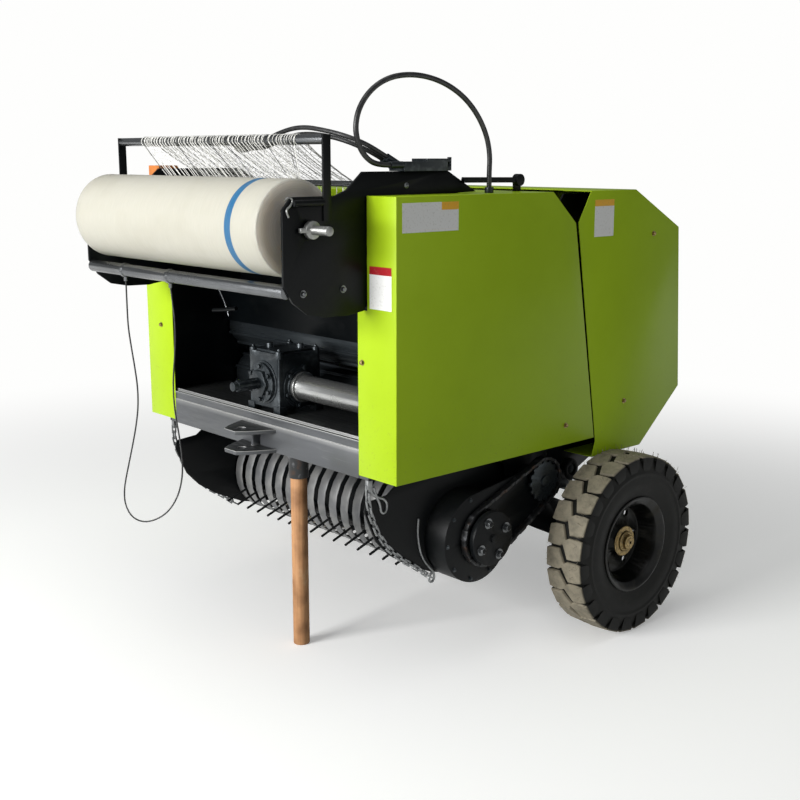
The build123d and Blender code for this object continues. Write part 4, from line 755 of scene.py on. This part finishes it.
def ribbon(points, faces, path, width):
    """Adds a thin closed three-sided thread along a path to a list of points and faces."""
    first = len(points)
    count = len(path)
    for i, p in enumerate(path):
        along = (path[min(i + 1, count - 1)] - path[max(i - 1, 0)]).normalized()
        side = along.cross(Vector((0, 0, 1)))
        side = Vector((1, 0, 0)) if side.length < 0.01 else side.normalized()
        up = side.cross(along).normalized()
        points += [p - side * width / 2, p + side * width / 2, p + up * width * 0.45]
    for i in range(count - 1):
        a, b = first + 3 * i, first + 3 * i + 3
        for j in range(3):
            k = (j + 1) % 3
            faces.append((a + j, a + k, b + k, b + j))
    last = first + 3 * (count - 1)
    faces.append((first, first + 2, first + 1))
    faces.append((last, last + 1, last + 2))


NET_X = (-0.380, 0.423)
NET_SKEW = -0.118
NET_FOOT_SKEW = 0.13
FRONT_ROD, REAR_ROD = (-0.632, 1.571), (-0.345, 1.448)
FRONT_ROD_GAP, REAR_ROD_GAP = 0.0148, 0.0108
NET_BACK = (-0.629, 1.457)
NET_STEPS = 6
LEAD = 8  # points of a thread up to its straight run
ZIGZAG_STEPS = 12
WRAP_STEPS = 14


def net_line(x0, x1, rng):
    """Path of one thread over both rods: at x0 on the front rod and at x1 on the rear one."""
    foot = x0 + min(NET_FOOT_SKEW, 0.75 * (NET_X[1] - x0)) + rng.uniform(-0.01, 0.004)
    path = [Vector((foot, *NET_BACK)),
            Vector((x0, FRONT_ROD[0] - FRONT_ROD_GAP, FRONT_ROD[1] - 0.004))]
    for angle in (180, 155, 130, 105, 80, 62):
        path.append(about_x(x0, FRONT_ROD, FRONT_ROD_GAP, radians(angle)))
    drift = rng.uniform(-0.010, 0.010)
    front_top, rear_top = FRONT_ROD[1] + FRONT_ROD_GAP, REAR_ROD[1] + REAR_ROD_GAP
    for i in range(1, NET_STEPS):
        share = i / NET_STEPS
        y = FRONT_ROD[0] + (REAR_ROD[0] - FRONT_ROD[0]) * share
        z = front_top + (rear_top - front_top) * share
        x = x0 + (x1 - x0) * share + drift * sin(pi * share) + rng.uniform(-0.0012, 0.0012)
        path.append(Vector((x, y, z - 0.005 * sin(pi * share))))
    for angle in (70, 40, 10):
        path.append(about_x(x1, REAR_ROD, REAR_ROD_GAP, radians(angle)))
    path.append(Vector((x1, REAR_ROD[0] + REAR_ROD_GAP, REAR_ROD[1] - 0.036)))
    return path


def thread_mesh(name, threads, finish, replaced=()):
    """Joins threads, given as (path, width) pairs, as one piece."""
    points, faces = [], []
    for path, width in threads:
        ribbon(points, faces, path, width)
    return settle(closed_mesh(name, points, faces), name, "frame", finish, replaced)


rng = random.Random(23)
white_threads, painted_shade_threads, lines = [], [], []
x0 = NET_X[0]
while x0 < NET_X[1]:
    crowded = abs(x0 - NET_X[0]) < 0.05 or abs(x0 - NET_X[1]) < 0.09
    line = net_line(x0, x0 + NET_SKEW + rng.uniform(-0.010, 0.010), rng)
    lines.append(line)
    # About one main thread in six, and some zigzags, are drawn dark grey: painted shade for the
    # gaps.
    shade = painted_shade_threads if rng.random() < 0.16 else white_threads
    shade.append((line, rng.uniform(0.0021, 0.0034)))
    x0 += rng.uniform(0.008, 0.013) if crowded else rng.uniform(0.012, 0.019)
for a, b in zip(lines, lines[1:]):
    zigzag = []
    for step in range(ZIGZAG_STEPS + 1):
        line = a if step % 2 else b
        at = LEAD + step / ZIGZAG_STEPS * (NET_STEPS - 1)
        low = min(int(at), LEAD - 1 + NET_STEPS)
        zigzag.append(line[low].lerp(line[low + 1], at - low))
    (painted_shade_threads if rng.random() < 0.3 else white_threads).append((zigzag, 0.0013))
# Loops of pale thread are caught round the front rod.
x = NET_X[0] - 0.004
while x < NET_X[1]:
    ring = [about_x(x + 0.009 * i / WRAP_STEPS, FRONT_ROD, FRONT_ROD_GAP + 0.0004,
                    2 * pi * i / WRAP_STEPS) for i in range(WRAP_STEPS + 1)]
    white_threads.append((ring, 0.0026))
    x += rng.uniform(0.016, 0.025)
thread_mesh("net_threads", white_threads, net_thread("net_thread_white", "#f3f2ec", "#a9a89f"),
            ["net_web"])
thread_mesh("net_shaded_threads", painted_shade_threads,
            net_thread("net_thread_shaded", "#3c3d3a", "#8b8a82"))


# A sawn timber offcut, of fresher and more orange wood than the prop, lies on the right front
# shield behind the roll.
offcut = edged_box((-0.618, -0.486, 1.4232), (-0.552, -0.410, 1.496), 0.0012)
settle(offcut, "timber_offcut", "frame",
       peeled_wood("sawn_offcut", "#e08a3c", "#b0612a"))


# Hose fittings: a painted steel valve block with tees on the left bracket, and the zinc-plated
# quick couplers that the feed hoses end in.
eased("hose_block", 0.0010, CASTING)
eased("hose_couplers", 0.0006, ZINC)


# Axle: a square beam below the chamber with turned stubs; brass-coloured dished cups and slotted
# nuts close the hubs.
HUB_AXIS = (0.422, 0.295)
CUP_OUTLINE = [
    (0.7405, 0.021), (0.7405, 0.044), (0.7420, 0.0495), (0.7450, 0.0500), (0.7462, 0.0480),
    (0.7450, 0.0400), (0.7470, 0.0345), (0.7530, 0.0325), (0.7545, 0.0300), (0.7535, 0.0265),
    (0.7560, 0.0240), (0.7660, 0.0235), (0.7675, 0.0215), (0.7675, 0.0160), (0.7695, 0.0140),
    (0.7695, 0.0050), (0.7600, 0.0050), (0.7600, 0.021)]
eased("axle", 0.0014, BLACK_PAINT)
for side, sign in (("left", 1), ("right", -1)):
    turned_ring(f"hub_cup_{side}", [(sign * x, r) for x, r in CUP_OUTLINE], HUB_AXIS, 48, "frame",
                BRASS, ["hub_nuts"] if side == "left" else ())


# Wheels: pressed and welded disc rims, black, and 6.50-10 block-tread tyres 140 mm wide. Each half
# of the tread has 24 pointed blocks, half a pitch from the other half's, with buttresses down the
# shoulder.
def tyre_rubber():
    """Tyre: near-black rubber in the grooves and on the sides, tan field dust on the blocks."""
    material, tree, place = new_finish("dusty_tyre")
    radius = about_axis(tree, place, HUB_AXIS)[1]
    cloud = add(tree, "ShaderNodeTexNoise", [("Vector", place), ("Scale", 30.0), ("Detail", 7.0),
                                             ("Roughness", 0.65)])
    top = add(tree, "ShaderNodeMapRange",
              enumerate((radius, TYRE_R - 0.0100, TYRE_R - 0.0065, 0.0, 1.0)))
    patchy = add(tree, "ShaderNodeMapRange", enumerate((cloud, 0.25, 0.6, 0.35, 1.0)))
    worn = add(tree, "ShaderNodeMath", [(0, top), (1, patchy)], operation="MULTIPLY")
    tan = lay_over(tree, linear("#a8a08c"), linear("#7d7565"), cloud)
    dark = lay_over(tree, linear("#080906"), linear("#34312a"), cloud, 0.5, 0.8, 0.0, 0.25)
    bump = position_bump(tree, place, 500, 5, 0.35, 0.0010)
    return coated(material, lay_over(tree, dark, tan, worn), 0.6,
                  [("Specular IOR Level", 0.24), ("Normal", bump)])


def tread_block(outer, side, angle, points, faces):
    """Adds one block, pointed across the zigzag groove, and its shoulder."""
    step = 2 * pi / LUGS
    # Outline: distance from the tread's middle, and place along it as a share of the pitch
    shape = [(ZIGZAG, BLOCK_GAP - 0.25), (-ZIGZAG, 0.0), (ZIGZAG, 0.75 - BLOCK_GAP),
             (outer * 0.72, 0.73 - BLOCK_GAP), (outer, 0.71 - BLOCK_NOTCH),
             (outer, BLOCK_NOTCH - 0.29), (outer * 0.72, BLOCK_GAP - 0.27)]
    shape = [(x + GROOVE / 2 if abs(x) <= ZIGZAG else x, side * (share - 0.25) * step)
             for x, share in shape]
    rings = [(TREAD_BASE - 0.004, 1.06), (TYRE_R - 0.0030, 1.0), (TYRE_R - 0.0008, 0.95)]
    n = len(shape)
    cx = sum(x for x, _ in shape) / n
    ca = sum(a for _, a in shape) / n
    first = len(points)
    for radius, grow in rings:
        for x, a in shape:
            px = min(cx + (x - cx) * grow, outer)
            r = radius - 0.0028 * (px / outer) ** 2
            points.append(about_x(WHEEL_X + side * px, HUB_AXIS, r, angle + ca + (a - ca) * grow))
    for ring in range(len(rings) - 1):
        for i in range(n):
            j = (i + 1) % n
            a, b = first + ring * n, first + (ring + 1) * n
            faces.append((a + i, a + j, b + j, b + i))
    faces.append(tuple(first + (len(rings) - 1) * n + i for i in range(n)))
    faces.append(tuple(first + i for i in reversed(range(n))))
    # Shoulder: the block's outer edge runs down the side and fades out.
    first = len(points)
    a0, a1 = shape[5][1], shape[4][1]
    middle, half = (a0 + a1) / 2, (a1 - a0) / 2
    for depth, radius, share in ((0.0, TYRE_R - 0.0045, 0.97), (0.0024, TYRE_R - 0.018, 0.93),
                                 (0.0022, TYRE_R - 0.038, 0.84), (0.0004, TYRE_R - 0.050, 0.60)):
        for a in (middle - half * share, middle + half * share):
            for out in (0.0, 1.0):
                px = outer - SHOULDER_T + out * (SHOULDER_T + depth)
                points.append(about_x(WHEEL_X + side * px, HUB_AXIS, radius, angle + a))
    for k in range(3):
        a, b = first + 4 * k, first + 4 * k + 4
        faces += [(a + 1, a + 3, b + 3, b + 1), (a, a + 1, b + 1, b), (a + 2, b + 2, b + 3, a + 3),
                  (a, b, b + 2, a + 2)]
    faces.append((first, first + 2, first + 3, first + 1))
    faces.append((first + 12, first + 13, first + 15, first + 14))


def tyre(side_name, sign):
    """One tyre with its tread; the left one is modelled and the right one is its mirror image."""
    bead = [(rim_in + inwards, r) for inwards, r in BEAD]
    half = bead + [(tyre_in + inwards, r) for inwards, r in SIDEWALL]
    # The far half mirrors the near one, but for its bead, which sits on the rim's other edge.
    shift = rim_out + rim_in - tyre_in - tyre_out
    profile = half + [(tyre_in + tyre_out - x + (shift if r < BEAD_TOP_R else 0), r)
                      for x, r in reversed(half)]
    points, faces = revolved(profile, HUB_AXIS, 120)
    for row in (-1, 1):
        for i in range(LUGS):
            angle = 2 * pi * (i + (0.5 if row > 0 else 0)) / LUGS
            tread_block((tyre_out - tyre_in) / 2 - 0.0035, row, angle, points, faces)
    name = f"tyre_{side_name}_tread"
    piece = closed_mesh(name, [(sign * p.x, p.y, p.z) for p in points], faces, smooth=32)
    return settle(piece, name, f"wheel_{side_name}", TYRE_RUBBER,
                  [f"tyre_{side_name}"])


def moulding_hairs(side_name, sign):
    """Thin rubber hairs that the mould's vents leave on the blocks, none near the ground."""
    rng = random.Random(5)
    points, faces = [], []
    start = TYRE_R - 0.0060
    for _ in range(190):
        angle = rng.uniform(-0.26 * pi, 1.26 * pi)
        px = WHEEL_X + rng.choice((-1, 1)) * rng.uniform(0.030, 0.062)
        length = rng.uniform(0.015, 0.022)
        lean = rng.uniform(-0.022, 0.022)
        base = about_x(sign * px, HUB_AXIS, start, angle)
        tip_x = sign * (px + rng.uniform(-0.002, 0.002))
        tip = about_x(tip_x, HUB_AXIS, start + length, angle + lean)
        ribbon(points, faces, [base, base.lerp(tip, 0.5), tip], 0.0014)
    name = f"tyre_{side_name}_hairs"
    return settle(closed_mesh(name, points, faces), name, f"wheel_{side_name}",
                  TYRE_RUBBER)


TYRE_R = 0.295
TREAD_BASE = 0.2835
LUGS = 24
GROOVE = 0.0072
ZIGZAG = 0.013
BLOCK_GAP, BLOCK_NOTCH = 0.058, 0.105  # shares of a block's pitch
SHOULDER_T = 0.012
BEAD_TOP_R = 0.16
# Outlines from the hub outwards: distance in from the rim's edge or the tyre's side, radius
BEAD = [(.018, .138), (.008, .143), (.0048, .1568)]
SIDEWALL = [(.0095, .172), (.0040, .190), (.0018, .208), (.0032, .222), (.0032, .228),
            (.0015, .231), (.0015, .236), (.0034, .240), (.0050, .262), (.0085, .276),
            (.0170, TREAD_BASE - .0005), (.0400, TREAD_BASE)]
tyre_in, tyre_out = (corner.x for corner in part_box("tyre_left"))
rim_in, rim_out = tyre_in + 0.012, tyre_out - 0.007
WHEEL_X = (tyre_in + tyre_out) / 2
TYRE_RUBBER = tyre_rubber()
# Gloss black rim paint, dusty round the hub and in the well
RIM_PAINT = wear_and_shade_finish("rim_paint", (22.0, 6.0), ["#080907", ("#4a4639", 0.5, 0.8, 0.0, 0.35)],
                        (0.5, 0.8, 0.3, 0.7), [("Specular IOR Level", 0.3)])
for side_name, sign in (("left", 1), ("right", -1)):
    eased(f"rim_{side_name}", 0.0018, RIM_PAINT)
    tyre(side_name, sign)
    moulding_hairs(side_name, sign)


# Pickup: side plates swung on the feed roller's shaft, a cam drum on the left one, a row of sprung
# steel bands, and the reel whose tines reach out between them. A bent rod runs down the left plate,
# and lift chains of galvanised links carry the whole from the frame.
CHAIN_STEEL = wear_and_shade_finish("galvanised_chain", (90.0, 4.0), ["#6a6c6e", ("#a9abab",)], 0.42,
                          [("Metallic", 0.9)])
# Grey sprayed spring steel, rubbed bright along the middle by the crop
BAND_STEEL = wear_and_shade_finish("rubbed_band_steel", (18.0, 7.0), ["#68696b", ("#8a8a88", 0.35, 0.7)],
                         0.46, [("Metallic", 0.45)], bump=(240, 4, 0.15, 0.0006))
eased("pickup_frame", 0.0014, BLACK_PAINT)
eased("pickup_bands", 0.0008, BAND_STEEL)
eased("pickup_reel", 0.0006, BLACK_PAINT)
eased("reel_sprocket", 0.0012, BLACK_PAINT)
REEL_AXIS, DISC_BOLT_R = (-0.098, 0.395), 0.0588
DISC_FACE_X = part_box("reel_sprocket")[1].x - 0.0150
disc_bolts = [(about_x(DISC_FACE_X, REEL_AXIS, DISC_BOLT_R, radians(a)), LEFT)
              for a in (25, 115, 205, 295)]
copies(hex_bolt(0.019), disc_bolts, "disc_bolts", frame["nodes"]["reel_sprocket"]["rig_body"],
       CONDUIT)
eased("pickup_chain", 0.0008, DARK_STEEL)
eased("lift_chains", 0.0008, CHAIN_STEEL)
CHAIN_X = 0.5135
LIFT_HOOK = [(CHAIN_X, y, z) for y, z in (
    (-.470, .612), (-.478, .590), (-.450, .566), (-.420, .556), (-.408, .535), (-.416, .512),
    (-.434, .515), (-.436, .540), (-.452, .570), (-.462, .598))]
PLATE_ROD = [(CHAIN_X, y, z) for y, z in (
    (-.284, .466), (-.288, .430), (-.284, .395), (-.276, .360), (-.262, .330), (-.240, .304),
    (-.222, .286), (-.216, .266), (-.224, .252), (-.238, .256), (-.240, .272), (-.228, .284))]
round_wire("lift_hook", LIFT_HOOK, 0.009, "frame", CHAIN_STEEL)
round_wire("plate_rod", PLATE_ROD, 0.008, "pickup", CHAIN_STEEL)
DRUM_AXIS, DRUM_BOLT_R, DRUM_FACE_X = (-0.118, 0.392), 0.128, 0.600
drum_bolts = [(about_x(DRUM_FACE_X, DRUM_AXIS, DRUM_BOLT_R, radians(a)), LEFT)
              for a in range(105, 300, 38)]
copies(hex_bolt(0.008), drum_bolts, "drum_bolts", "pickup", CASTING)


# Tailgate cylinders: black barrels and rods inside the shields. The rods are hard chromed, under an
# oil film with fine dust.
CHROME = wear_and_shade_finish("oiled_chrome", (60.0, 4.0), ["#c9cacc"], (0.4, 0.8, 0.08, 0.3),
                     [("Metallic", 1.0)])
for side in ("left", "right"):
    eased(f"cylinder_barrel_{side}", 0.0012, BLACK_PAINT)
    eased(f"cylinder_rod_{side}", 0.0008, CHROME)
